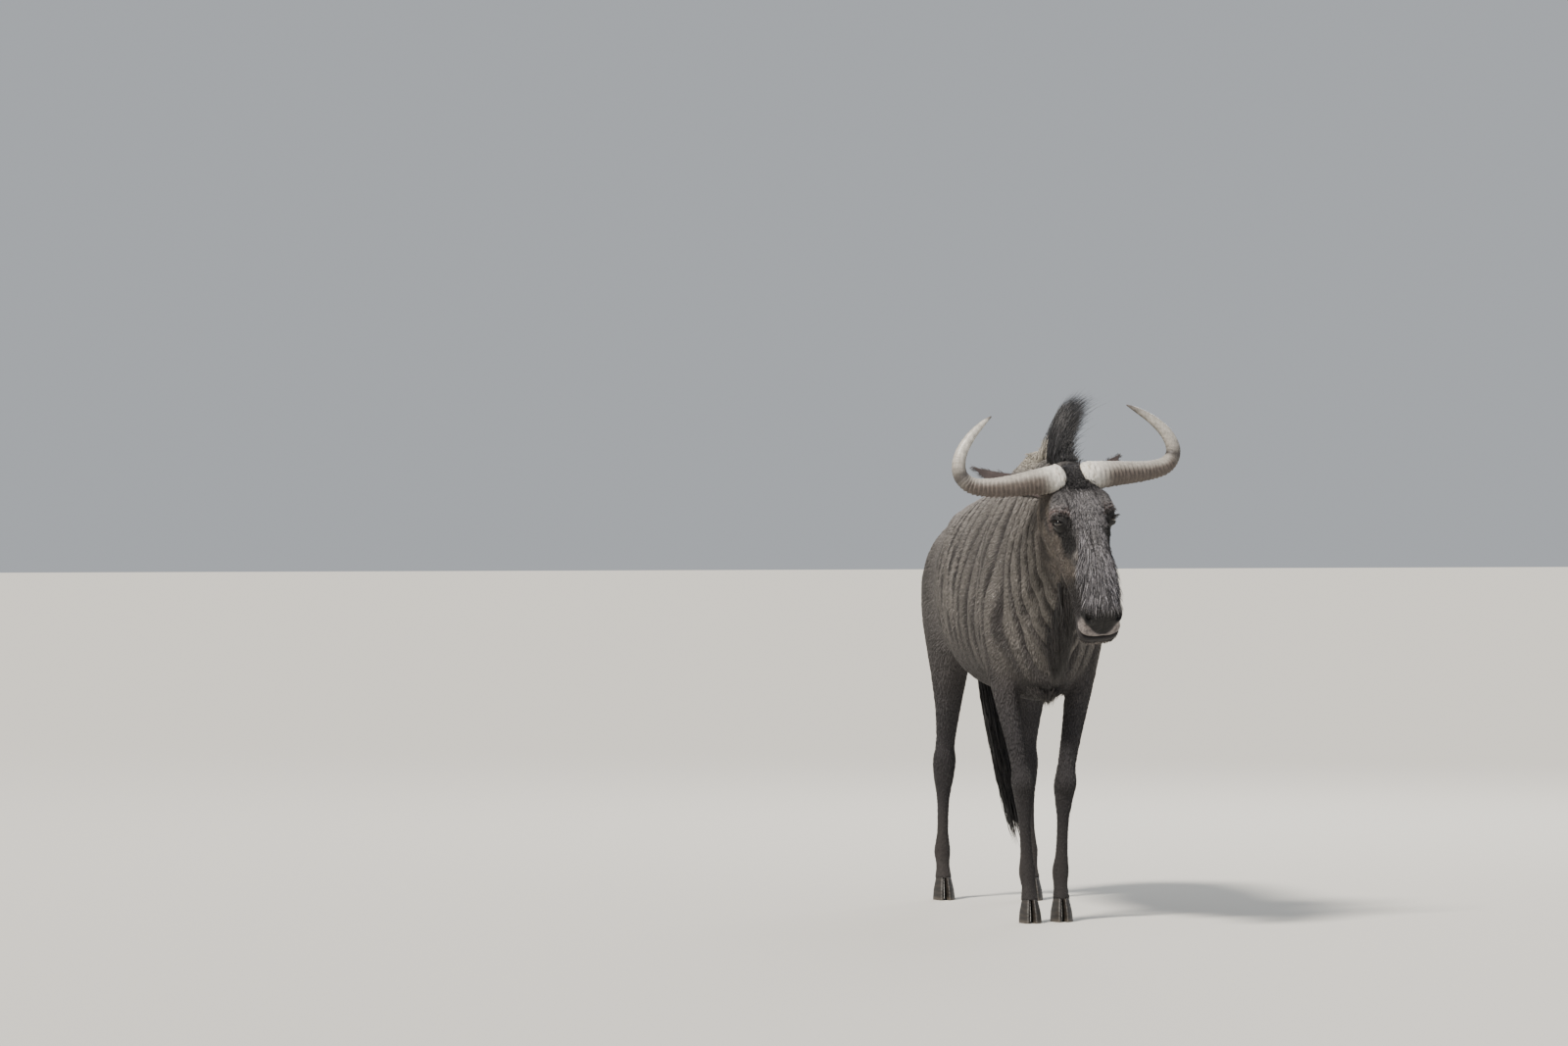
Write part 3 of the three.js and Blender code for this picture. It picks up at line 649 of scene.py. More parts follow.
def stripe_reach(body):
    """How strongly the stripes show, from the neck to the flank."""
    x, y, z = body.T
    reach = band(y, -930, -830, 90, 330)
    top = 1 - 0.55 * ramp(z, 1290, 1420) * ramp(y, -700, -500)
    low = ramp(z, 700 + 0.12 * (y + 500), 860 + 0.10 * (y + 500))
    broken = 0.82 + 0.32 * ripple(body * (1, 1, 0.6), 150, 8)
    return reach * top * low * np.clip(broken, 0.4, 1)


# %% [markdown]
# A table names each muscle, bone and hollow with its place, its size and its height in millimetres,
# because a number is easier to change than a brush stroke.

# %% Muscles, bones and folds of the body
points, edges = read(skin.data.vertices, "co"), read(skin.data.edges, "vertices", 2, int)
normals = read(skin.data.vertices, "normal")
body, head = points * 1000, moved(points * 1000, HEAD_BACK)
on_head = ramp(head[:, 1], -60, 0) * ramp(head[:, 2], -260, -215) * (body[:, 1] < -700)
BODY_STROKES = [
    (dome, ((150, -520, 900), (60, 60, 80)), 7),  # point of the shoulder
    (dome, ((168, -320, 880), (60, 80, 100)), 6),  # triceps
    (stroke, ((64, -330, 1320), (150, -480, 980), 26), 6),  # ridge of the shoulder blade
    (stroke, ((96, -225, 1290), (190, -245, 900), 34), -6),  # hollow behind the shoulder
    (stroke, ((120, -540, 1180), (140, -560, 880), 30), -5),  # hollow before the shoulder
    (dome, ((146, -330, 765), (30, 34, 36)), 7),  # elbow
    (dome, ((176, 330, 1120), (70, 70, 70)), -9),  # hollow of the flank
    (dome, ((142, 410, 1205), (44, 40, 36)), 8),  # hip bone
    (dome, ((62, 655, 1120), (34, 34, 40)), 6),  # seat bone
    (stroke, ((110, 585, 1060), (132, 600, 760), 18), -4),  # split between the thigh muscles
    (dome, ((150, 395, 800), (44, 44, 60)), 8),  # stifle
    (stroke, ((60, -860, 1060), (96, -600, 860), 24), -5),  # groove of the throat
    (stroke, ((84, -900, 1130), (110, -640, 930), 26), 4),  # muscle beside it
    (dome, ((0, -560, 720), (46, 60, 50)), 4),  # brisket
    (stroke, ((0, 200, 712), (0, 330, 742), 26), 9),  # sheath
]
height = np.zeros(len(points))
for shape, where, rise in BODY_STROKES:
    height += rise * shape(body, *where)
folds = stripe_wave(body) * stripe_reach(body)
fold_depth = 6.5 * fade(body[:, 1], -640, -420) + 4.8 * fade(body[:, 1], -300, 0) + 1.0
height -= fold_depth * (folds - 0.4 * stripe_reach(body))
height += 0.9 * ripple(body, 45, 11) * ramp(body[:, 2], 600, 800)
ribs = band(body[:, 1], -180, -60, 230, 320) * ramp(body[:, 2], 760, 860)
ribs *= fade(body[:, 2], 1120, 1220)
height += 1.2 * ribs * np.cos(2 * np.pi * (body[:, 1] - 0.25 * body[:, 2]) / 58)
height *= 1 - on_head
print(len(BODY_STROKES), "strokes, from", height.min().round(1), "to", height.max().round(1), "mm")

# %% [markdown]
# A leg below the knee is bone in front and tendon behind, with a hollow between them on each side.

# %% Bones and tendons of the legs
for name in STANCE:
    table = np.array(leg_table(name))
    fore = name.startswith("fore")
    order = np.argsort(table[:, 2])
    middle_x = np.interp(body[:, 2], table[order, 2], table[order, 0])
    middle_y = np.interp(body[:, 2], table[order, 2], table[order, 1])
    dx, dy = body[:, 0] - middle_x, body[:, 1] - middle_y
    mine = (np.hypot(dx, dy) < 80) & (body[:, 2] < 640)
    hollow = bell(dy - 6, 6.5) * np.abs(normals[:, 0]) ** 2
    shin = band(body[:, 2], 140, 190, 300, 360)
    height[mine] -= (3.2 * hollow * shin)[mine]
    if fore:
        knee = bell(body[:, 2] - 418, 30) * ramp(-normals[:, 1], 0.2, 0.8)
        height[mine] += (3.5 * knee)[mine]
        arm = stroke(body, (120, -470, 760), (84, -470, 520), 16)
        height[mine] += (3 * arm)[mine]
    else:
        cord_hollow = bell(dy - 22, 10) * np.abs(normals[:, 0]) ** 2
        gaskin = band(body[:, 2], 470, 520, 600, 640)
        height[mine] -= (6 * cord_hollow * gaskin)[mine]
points = points + normals * (height / 1000)[:, None]

# %% [markdown]
# ## The face
# The face carries most of the character: brows over deep eyes, wrinkled lids, a gland in a dark
# patch before each eye, a long convex nose, nostrils that open forwards, and lips that close on a
# line which sags in the middle.


# %% Strokes of the face, in head millimetres
def mouth_height(h):
    """The height of the mouth's line, which drops a little towards its corners."""
    return -68 + 0.05 * (h[:, 1] - 398) - 9 * np.clip((385 - h[:, 1]) / 70, 0, 1)


def pad_height(h):
    """The lower edge of the nose pad, a wide V between the nostrils."""
    return -51 + 21 * np.clip(np.abs(h[:, 0]) / 46, 0, 1.3) ** 1.5


write_points(skin.data, points)
normals = read(skin.data.vertices, "normal")
head = moved(points * 1000, HEAD_BACK)
EYE_AXIS = np.array([0.86, 0.08, 0.5]) / np.linalg.norm([0.86, 0.08, 0.5])
SLIT = np.array([-0.42, 0.40, 0.80])
SLIT = SLIT - EYE_AXIS * (SLIT @ EYE_AXIS)
SLIT /= np.linalg.norm(SLIT)
LID_UP = np.cross(SLIT, EYE_AXIS)
LID_UP *= -np.sign(LID_UP[1])
FACE_STROKES = [
    (stroke, ((56, 100, 34), (94, 124, 2), 12), 5),  # rim of the brow
    (stroke, ((40, 60, 32), (78, 92, 16), 22), 3),  # bone under the horn
    (stroke, ((64, 172, 22), (92, 168, -14), 9), -3),  # hollow under the eye
    (dome, ((64, 214, 6), (15, 26, 20)), -6),  # gland before the eye
    (dome, ((58, 246, 12), (13, 12, 13)), 4),  # fold below the gland
    (stroke, ((80, 200, -62), (66, 310, -66), 15), 4),  # cheek bone
    (stroke, ((62, 280, -10), (56, 390, -14), 15), -5),  # hollow beside the nose
    (stroke, ((0, 170, 40), (0, 390, 18), 30), 5),  # bridge of the nose
    (dome, ((0, 120, 40), (40, 60, 30)), -2),  # flat of the forehead
    (stroke, ((88, 120, -100), (70, 215, -140), 30), 4),  # jaw muscle
    (stroke, ((70, 250, -100), (58, 360, -96), 22), -4),  # hollow of the cheek
    (dome, ((52, 418, -14), (20, 24, 18)), 3),  # wing of the nostril
    (stroke, ((0, 446, -6), (0, 480, -50), 5), -2.5),  # groove under the nose
    (dome, ((26, 474, -50), (22, 16, 16)), 3),  # fullness of the upper lip
]
height = np.zeros(len(points))
for shape, where, rise in FACE_STROKES:
    height += rise * shape(head, *where)
lip = head[:, 2] - mouth_height(head)
mouth_zone = ramp(head[:, 1], 318, 350) * on_head
height += mouth_zone * (2.8 * bell(lip - 9, 6) + 2.2 * bell(lip + 10, 7))
height -= mouth_zone * 8.5 * bell(lip, 3.4)
pad_edge = head[:, 2] - pad_height(head)
height -= 1.6 * bell(pad_edge, 2.6) * ramp(head[:, 1], 420, 440)
away = folded(head) - EYE_AT
from_eye = np.linalg.norm(away, axis=1)
above_eye = ramp(away @ LID_UP, -8, 14)
wrinkles = bell(from_eye - 40, 13) * (0.35 + 0.65 * above_eye)
height += 2.1 * wrinkles * np.cos(2 * np.pi * from_eye / 8.5 + 0.8 * ripple(head, 30, 3))
height += 0.5 * ripple(head, 12, 21) * ramp(head[:, 1], 300, 400)
points = points + normals * (height * on_head / 1000)[:, None]
print(len(FACE_STROKES), "strokes on the face")

# %% [markdown]
# An eye opening is an almond whose points are pulled back behind the ball. A nostril is a bent slot
# that is pushed inwards and has a raised rim. Both are made once and mirrored.

# %% Eye openings and nostrils
NOSTRIL_AT = np.array([45.0, 438.0, -14.0])
NOSTRIL_AXIS = np.array([0.62, 0.55, 0.56]) / np.linalg.norm([0.62, 0.55, 0.56])
head = moved(points * 1000, HEAD_BACK)
sign = np.where(head[:, 0] < 0, -1.0, 1.0)
mirrored = head * vectors(sign, 1, 1)
away = mirrored - EYE_AT
out, wide, tall = away @ EYE_AXIS, away @ SLIT, away @ LID_UP
SLIT_HALF, SLIT_TALL = 19, 9.4
opening = (wide / SLIT_HALF) ** 2
opening = opening + (tall / (SLIT_TALL * (1 - 0.25 * opening))) ** 2
inside = (opening < 1) & (out > 0) & (np.linalg.norm(away, axis=1) < 40)
mirrored[inside] = EYE_AT + away[inside] / np.linalg.norm(away[inside], axis=1)[:, None] * 15
hole = mirrored - NOSTRIL_AT
hole_up = np.cross(NOSTRIL_AXIS, [-0.55, 0.62, -0.56])
hole_up /= np.linalg.norm(hole_up)
hole_side = np.cross(hole_up, NOSTRIL_AXIS)
hole_wide, hole_tall = hole @ hole_side, hole @ hole_up
curved = hole_tall - 0.03 * hole_wide**2 / 2
from_slot = (hole_wide / 14) ** 2 + (curved / 6.5) ** 2
around = np.linalg.norm(hole, axis=1) < 34
deep = np.exp(-(from_slot**1.6)) * around
rim = bell(np.sqrt(from_slot) - 1.35, 0.35) * around
mirrored -= NOSTRIL_AXIS * (16 * deep - 1.8 * rim)[:, None]
head = mirrored * vectors(sign, 1, 1)
points = moved(head, HEAD) / 1000
write_points(skin.data, points)
print("skin sculpted:", len(points), "points, eye opening holds", int(inside.sum()))

# %% [markdown]
# ## Markings
# Skin and coat share one colour, worked out from the place on the body: grey, with painted sunlight
# on the back and painted shade lower down, brown-black knees and shins, near-black face with grey
# streaks, and the dark brindle stripes. It is kept as a colour attribute, so the same markings bake
# onto any surface.


# %% The colour at any place of the body
def tone(code):
    return np.array(linear(code)[:3])


def plain(code, count):
    """One colour for each of many points."""
    return np.repeat(tone(code)[None], count, 0)


def layered(colour, *layers):
    """Colours under layers, each of one colour and its share at each point."""
    for code, share in layers:
        share = np.clip(share, 0, 1)[:, None]
        colour = colour * (1 - share) + tone(code) * share
    return colour


def coat_colour(metres):
    """The linear colour of the coat at places given in metres, before the shift."""
    b = metres * 1000
    h = moved(b, HEAD_BACK)
    x, y, z = b.T
    face = ramp(h[:, 1], -70, 10) * ramp(h[:, 2], -270, -150) * (y < -690)
    # painted shade on the front of the neck and the chest, strongest under the head
    chest = ramp(-y, 560, 860) * fade(z, 1080, 1300) * (1 - face)
    crest = bell(x, 70) * ramp(z, 1330, 1400) * fade(y, -330, -240)
    nape = bell(x - 6, 40) * ramp(z, 1300, 1345) * fade(y, -640, -560)
    wave, reach = stripe_wave(b), stripe_reach(b)
    colour = layered(
        plain("#4C4948", len(b)),
        ("#7F7B78", ramp(z + 0.1 * y, 1060, 1330) * (1 - face)),  # painted sunlight on the back
        ("#383536", fade(z, 680, 980)),  # painted shade on the lower sides
        ("#2A282B", fade(z, 560, 740)),  # forearms and gaskins
        ("#201E20", fade(z + 12 * ripple(b, 90, 31), 390, 500)),  # knees and shins
        ("#2F2B29", fade(z, 190, 330) * 0.6),  # pasterns
        # painted shade on the front of the neck and the chest
        ("#433F3B", chest * 0.8),
        # pale crest hair, lightened further by painted sunlight on the sun side
        ("#AFA899", crest * ramp(y, -600, -500) * (x < 15) * 0.9),
        ("#1F1D1E", nape),
        ("#231F20", wave * reach * 0.92),  # dark stripes
        # paler coat between the stripes, partly a painted highlight on the raised folds
        ("#8A857F", (1 - wave) ** 3 * reach * 0.38),  # pale between the stripes
        # the brisket's underside: dark hair, with painted shade under the chest
        ("#1B191A", bell(x, 75) * fade(z, 705, 750) * band(y, -640, -590, -480, -380)),  # brisket
    )
    mottled = 1 + 0.09 * ripple(b, 120, 33) + 0.06 * ripple(b, 26, 34)
    colour = colour * np.clip(mottled, 0.7, 1.3)[:, None]
    return face_colour(colour, h, face)


# %% [markdown]
# The face is nearly black with grey streaks that run towards the nose, lightened on its front by
# painted sunlight. The sockets, dark skin deepened with painted shade, and the patches round the
# glands are darkest. The nose pad is black, and the upper lip a pale crescent with a painted sheen.
# Painted shade darkens the mouth's crease, and a painted reflection lightens the edge of the chin.


# %% Colour of the face
def face_colour(colour, h, face):
    """The face: grey streaks on near-black, pink-brown lids, black nose, a pale lip, and painted light
    and shade.
    """
    x, y, z = np.abs(h[:, 0]), h[:, 1], h[:, 2]
    streak = ripple(h * (1, 0.12, 0.6), 13, 41) * 0.6 + ripple(h * (1, 0.2, 0.6), 30, 42) * 0.5
    front = ramp(z, -35, 12) * band(y, 30, 90, 385, 415)
    jaw = fade(z, -30, 8) * fade(y, 290, 350)
    snout_side = ramp(y, 270, 320) * fade(z, -34, -6) * fade(y, 415, 440)
    away = np.linalg.norm(folded(h) - EYE_AT, axis=1)
    arcs = bell(away - 42, 12) * fade(y, 132, 156)
    socket = np.sqrt((x - 74) ** 2 + 0.7 * (y - 150) ** 2 + (z - 4) ** 2)
    poll = fade(y, -15, 50) * fade(x, 35, 60) * ramp(z, -60, -10)
    lip_line, pad_line = z - mouth_height(h), z - pad_height(h)
    crescent = ramp(y, 424, 444) * ramp(lip_line, 1.5, 4.5) * fade(pad_line, -4, 0)
    crescent *= np.clip(0.72 + 0.3 * ripple(h, 11, 44) + 0.2 * ripple(h, 5, 45), 0, 1)
    made = layered(
        plain("#2B292B", len(h)),
        # grey streaks on the front of the face, lightened there by painted sunlight
        ("#716F70", front * np.clip(0.5 + 0.6 * streak, 0, 1)),
        ("#58514B", jaw * np.clip(0.75 + 0.5 * streak, 0, 1)),
        ("#1C191A", snout_side * 0.7),
        ("#665755", arcs * np.clip(0.6 + 0.5 * np.cos(2 * np.pi * away / 8.5), 0, 1)),
        # dark skin round the eye, deepened by painted shade of the deep socket
        ("#0D0B0C", fade(socket, 29, 42) * 0.97),
        ("#0B0A0B", dome(h, (66, 208, 2), (22, 34, 28)) * 2.2),  # patch round the gland
        ("#8E8985", dome(h, (57, 250, 14), (9, 10, 12)) * 0.8),  # pale fold below it
        ("#1B191B", poll * 0.9),
        ("#0C0B0C", ramp(y, 404, 424) * ramp(pad_line, -3, 3)),  # nose pad
        ("#1E1B1C", ramp(y, 350, 385) * fade(z, -70, -52)),  # lower lip
        ("#7D7572", crescent),  # pale upper lip and painted sheen of its wet rim
        ("#7E7772", ramp(y, 425, 452) * fade(lip_line, -32, -24) * 0.8),  # painted reflection on the chin
        ("#0F0C0D", ramp(y, 350, 385) * bell(lip_line, 3.0)),  # painted shade in the mouth's crease
    )
    share = face[:, None]
    return colour * (1 - share) + made * share


# %% [markdown]
# Nose pad, lips and lids are bare skin. Their share is kept in the alpha of the markings, where it
# makes the skin smoother, and the coat leaves them free.


# %% Bare skin
def bare_share(metres):
    """1 where the skin is bare: the nose pad, the lips and the lids."""
    h = moved(metres * 1000, HEAD_BACK)
    x, y, z = np.abs(h[:, 0]), h[:, 1], h[:, 2]
    away = np.linalg.norm(folded(h) - EYE_AT, axis=1)
    near_head = (np.abs(h[:, 0]) < 130) & (z > -200) & (z < 90)
    nose = ramp(y, 408, 426) * ramp(z, -72, -60)
    lips = ramp(y, 385, 425) * bell(z - mouth_height(h), 16)
    brow = 6 * fade(y, 125, 150)
    lids = fade(away, 24 + brow, 29 + brow)
    return np.clip(nose + lips * 1.4 + lids, 0, 1) * near_head


def paint(mesh, colour, bare):
    """Keeps a colour for each point, with the share of bare skin in its alpha."""
    layer = mesh.color_attributes.new("markings", "FLOAT_COLOR", "POINT")
    layer.data.foreach_set("color", np.column_stack([colour, bare]).astype(np.float32).ravel())


paint(skin.data, coat_colour(points), bare_share(points))
skin.data.shade_smooth()

# %% [markdown]
# ### The skin's unwrap
# The coat's tufts borrow the skin's unwrap, so the skin is unwrapped first, by Smart UV Project.

# %% Unwrap the skin
edit(skin, bpy.ops.mesh.quads_convert_to_tris)
edit(skin, bpy.ops.uv.smart_project, angle_limit=math.radians(72), island_margin=0.001)
skin.data.uv_layers[0].name = "OFBake"
print("skin triangles:", len(skin.data.polygons))

# %% [markdown]
# ### What the skin looks like
# Short hair over skin: matt, with fine upright streaks a few millimetres apart. Bare skin on the nose
# and lids is smoother and a little moist.

# %% Skin material
skin_look = marked_material(
    "short_haired_hide",
    (260.0, 3.0, 0.6),  # flecks of 4 mm, coarser than hair so that they show
    (0.25, 0.82, 1.16),
    {"IOR": 1.45, "Specular IOR Level": 0.35, "Sheen Weight": 0.04, "Sheen Roughness": 0.5},
    dull=(0.82, 0.56),
    bump=(0.5, 0.0012),
    stretch=0.25,
    pores=420.0,  # pits of 2.4 mm
)
skin.data.materials.clear()
skin.data.materials.append(skin_look)
FLESH = ["head", "neck", "shoulders", "barrel", "haunches", "tail_dock"]
for name in STANCE:
    FLESH += [f"leg_{name}_upper", f"leg_{name}_lower"]


def settle(piece, slot_name, *nodes):
    """Moves a piece from the measured place to the frame's, and hands it to the frame."""
    piece.data.transform(Matrix.Translation(Vector(SHIFT)))
    piece.data.update()
    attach(piece, "root")
    if nodes:
        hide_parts(*nodes)


# %% [markdown]
# ## Hair as solid mesh
# Every tuft and strand is a thin three-sided spike along a path: rings of three points and one tip.
# All spikes of a piece are built at once from arrays, which takes a second where a loop over
# strands would take minutes.


# %% Spikes from paths
def unit(arrows):
    return arrows / np.maximum(np.linalg.norm(arrows, axis=-1, keepdims=True), 1e-12)


def spikes(name, paths, facing, widths, flatness, colours, patches, slot_name, look):
    """One mesh of spikes: paths (n,k,3), facing (n,3), widths (n,k), colours (n,k,3)."""
    n, k = paths.shape[:2]
    tangent = unit(np.gradient(paths, axis=1))
    up = unit(facing[:, None] - tangent * (tangent * facing[:, None]).sum(-1, keepdims=True))
    across = np.cross(up, tangent)
    half = widths[..., None] / 2
    rings = np.stack([paths - across * half, paths + across * half, paths + up * half * flatness], 2)
    tips = paths[:, -1]
    verts = np.concatenate([rings[:, : k - 1].reshape(n, -1, 3), tips[:, None]], 1)
    per = verts.shape[1]
    corners = []
    for i in range(k - 2):
        for j in range(3):
            m = (j + 1) % 3
            a, b, c, d = 3 * i + j, 3 * i + m, 3 * i + 3 + m, 3 * i + 3 + j
            corners += [(a, b, c), (a, c, d)]
    last = 3 * (k - 2)
    tip = per - 1
    corners += [(last, last + 1, tip), (last + 1, last + 2, tip), (last + 2, last, tip), (2, 1, 0)]
    corners = np.array(corners)
    faces = (corners[None] + np.arange(n)[:, None, None] * per).reshape(-1, 3)
    mesh = bpy.data.meshes.new(name)
    mesh.vertices.add(n * per)
    mesh.vertices.foreach_set("co", verts.ravel())
    mesh.loops.add(faces.size)
    mesh.loops.foreach_set("vertex_index", faces.ravel())
    mesh.polygons.add(len(faces))
    mesh.polygons.foreach_set("loop_start", np.arange(0, faces.size, 3))
    mesh.update(calc_edges=True)
    mesh.polygons.foreach_set("use_smooth", np.ones(len(faces), bool))
    ring_colour = np.repeat(colours[:, : k - 1, None], 3, 2).reshape(n, -1, 3)
    every = np.concatenate([ring_colour, colours[:, -1:]], 1).reshape(-1, 3)
    paint(mesh, every, np.zeros(len(every)))
    level = np.concatenate([np.repeat(np.linspace(-0.5, 0.5, k)[: k - 1], 3), [0.5]]) * PATCH
    across_uv = np.concatenate([np.tile([-0.5, 0.5, 0.0], k - 1), [0.0]]) * PATCH
    local = vectors(across_uv, level)
    uv = (patches[:, None, None] + local[corners][None]).reshape(-1, 2)
    mesh.uv_layers.new(name="OFBake").data.foreach_set("uv", uv.astype(np.float32).ravel())
    mesh.materials.append(look)
    piece = new_object(name, mesh)
    settle(piece, slot_name)
    print(f"{name}: {n} spikes, {len(faces)} triangles")
    return piece


PATCH = 0.003  # size of each spike's patch on the unwrap

# %% [markdown]
# Every other piece is a painted mesh, given in body millimetres, with its normals turned outwards.


# %% A painted piece
def painted_piece(name, points, faces, colour, bare, look, slot_name, *nodes):
    mesh = bpy.data.meshes.new(name)
    mesh.from_pydata((points / 1000).tolist(), [], faces)
    mesh.update()
    paint(mesh, colour, bare)
    mesh.shade_smooth()
    mesh.materials.append(look)
    piece = new_object(name, mesh)
    edit(piece, bpy.ops.mesh.normals_make_consistent, inside=False)
    settle(piece, slot_name, *nodes)
    print(f"{name}: {len(mesh.vertices)} points")


# %% [markdown]
# Hair is glossy along its length. The coat's hair is dull and dry, and the long hair is black with a
# slight shine. The noise varies it by 3 to 5 mm, the width of a few hairs that stick together.


# %% Hair materials
hair_shade = (0.2, 0.84, 1.16)
dry_hair, glossy_hair = {"Roughness": 0.78, "IOR": 1.55}, {"Roughness": 0.42, "IOR": 1.55}
coat_look = marked_material("short_dry_coat_hair", (300.0, 2.0, 0.5), hair_shade, dry_hair)
long_look = marked_material("long_glossy_hair", (200.0, 2.0, 0.5), hair_shade, glossy_hair)


# %% [markdown]
# ## The coat
# Tufts are scattered evenly over the skin's triangles by their area. They follow the lie of the coat:
# backwards and down on the body, down the legs, and down the face to the nose.


# %% Scatter tufts over the skin
rng = np.random.default_rng(12)
mesh = skin.data
triangles = read(mesh.polygons, "vertices", 3, int)
skin_points, skin_normals = read(mesh.vertices, "co"), read(mesh.vertices, "normal")
skin_uv = read(mesh.uv_layers[0].data, "uv", 2).reshape(-1, 3, 2)
corner = skin_points[triangles]
areas = np.linalg.norm(np.cross(corner[:, 1] - corner[:, 0], corner[:, 2] - corner[:, 0]), axis=1) / 2
print("skin area", round(float(areas.sum()), 3), "square metres")


def scatter(count, weight):
    """Places on the skin: position, normal and unwrap, spread by area times weight."""
    share = np.cumsum(areas * weight)
    draws = (np.arange(count) + rng.random(count)) / count * share[-1]
    chosen = np.minimum(np.searchsorted(share, draws), len(areas) - 1)
    a, b = rng.random((2, count))
    flip = a + b > 1
    a[flip], b[flip] = 1 - a[flip], 1 - b[flip]
    mix = vectors(1 - a - b, a, b)[..., None]
    here = (corner[chosen] * mix).sum(1)
    out = unit((skin_normals[triangles[chosen]] * mix).sum(1))
    return here, out, (skin_uv[chosen] * mix).sum(1)


# %% [markdown]
# Hair lies in one direction at each place, as if it was combed. Without that, tufts look like moss.


# %% The lie of the coat
def lie_of_coat(metres):
    """The direction that the hair lies in, before it is laid on the skin."""
    b = metres * 1000
    h = moved(b, HEAD_BACK)
    x, y, z = b.T
    flow = vectors(0, 1.0, -0.75)
    leg = fade(z, 640, 820)[:, None]
    flow = flow * (1 - leg) + np.array([0, 0.18, -1.0]) * leg
    neck = (ramp(-y, 480, 620))[:, None]
    flow = flow * (1 - neck) + np.array([0, 0.42, -1.0]) * neck
    face = (ramp(h[:, 1], -70, 10) * ramp(h[:, 2], -270, -150) * (y < -690))[:, None]
    down = HEAD[:3, 1]
    aside = HEAD[:3, 0] * (0.25 * np.tanh(h[:, 0:1] / 40))
    back = -HEAD[:3, 2] * fade(h[:, 2:3], -60, 10) * 0.7
    return flow * (1 - face) + (down + aside + back) * face


# %% [markdown]
# The coat comes in nine pieces, so that each has under 200,000 triangles. The same cuts that part the
# solids of head, neck, shoulders, barrel and haunches part it.

# %% Regions of the coat
middle = corner.mean(1)
middle_bare = bare_share(middle)
z_mm, y_mm = middle[:, 2] * 1000, middle[:, 1] * 1000
LEG_TOP, SHOULDER_END, HAUNCH_START = 745, -150, 300
HEAD_CUT = (-866, 1200, -0.992, -0.124)  # y and z of a place on the cut, and the way forwards
NECK_CUT = (-560, 1080, -0.94, 0.342)


def before(y, z, cut):
    """Whether places lie on the head's side of a cut."""
    return (y - cut[0]) * cut[2] + (z - cut[1]) * cut[3] > 0


is_head = before(y_mm, z_mm, HEAD_CUT) & (z_mm > 800)
is_leg = (z_mm < LEG_TOP) & ~is_head & (np.abs(middle[:, 0]) > 0.012)
is_neck = ~is_head & ~is_leg & before(y_mm, z_mm, NECK_CUT)
is_shoulder = ~is_head & ~is_leg & ~is_neck & (y_mm < SHOULDER_END)
is_barrel = ~is_leg & ~is_head & ~is_neck & ~is_shoulder & (y_mm < HAUNCH_START)
is_haunch = ~is_leg & (y_mm >= HAUNCH_START)


# %% [markdown]
# A tuft starts inside the skin, rises and then lies along the coat. Its root is darker than its tip,
# which the sun bleaches.


# %% Tufts
def tuft_piece(name, weight, count, length, width, lift):
    """One piece of the coat: short tufts that lie along the body and overlap."""
    here, out, patches = scatter(count, weight)
    flow = lie_of_coat(here)
    flow += unit(rng.normal(size=flow.shape)) * 0.16 * np.linalg.norm(flow, axis=1)[:, None]
    lie = unit(flow - out * (flow * out).sum(1, keepdims=True))
    fine = 0.5 + 0.5 * ramp(here[:, 2] * 1000, 180, 640)  # the hair grows shorter towards the feet
    long = length * fine * rng.uniform(0.7, 1.25, count) / 1000
    raised = lift * fine**2 * rng.uniform(0.6, 1.5, count) / 1000
    t = np.array([0.0, 0.5, 1.0])
    rise = np.array([-0.5, 1.0, 1.25])
    paths = here[:, None] + lie[:, None] * (long[:, None] * t)[..., None]
    paths += out[:, None] * (raised[:, None] * rise)[..., None]
    widths = (width / 1000) * (fine * rng.uniform(0.75, 1.3, count))[:, None] * np.array([0.8, 1.0, 0.1])
    base = coat_colour(here)
    vary = np.clip(rng.normal(1.0, 0.09, count), 0.7, 1.3)[:, None]
    colours = base[:, None] * (vary * np.array([0.8, 1.0, 1.12]))[..., None]
    return spikes(name, paths, out, widths, 0.7, colours, patches, "coat", coat_look)


furred = 1 - middle_bare
COAT = [
    ("coat_head", is_head * furred, 14500, 12, 2.0, 1.0),
    ("coat_neck_front", is_neck * (z_mm < 1130), 11500, 21, 3.1, 1.5),
    ("coat_neck_top", is_neck * (z_mm >= 1130), 11500, 21, 3.1, 1.5),
    ("coat_shoulders_right", is_shoulder * (middle[:, 0] < 0), 11000, 21, 3.2, 1.4),
    ("coat_shoulders_left", is_shoulder * (middle[:, 0] >= 0), 10000, 21, 3.2, 1.4),
    ("coat_barrel", is_barrel * 1.0, 14500, 23, 3.8, 1.0),
    ("coat_haunches", is_haunch * 1.0, 14500, 22, 3.7, 1.0),
    ("coat_forelegs", is_leg * (y_mm < 0), 10500, 15, 2.7, 1.0),
    ("coat_hindlegs", is_leg * (y_mm >= 0), 10500, 15, 2.7, 1.0),
]
for row in COAT:
    tuft_piece(*row)

# %% Hand the skin to the frame
settle(skin, "coat", *FLESH)
print("the skin stands for", len(FLESH), "nodes")

# %% [markdown]
# ## Long hair
# The mane stands on the crest of the neck like a plume and falls over to the left at the withers. The
# beard hangs under the jaw and throat, and the tail carries black hair almost to the ground. A strand
# is a smooth curve from its root through two handles to its tip. Its colours come from the mesh, and
# its place on the unwrap from the nearest skin.


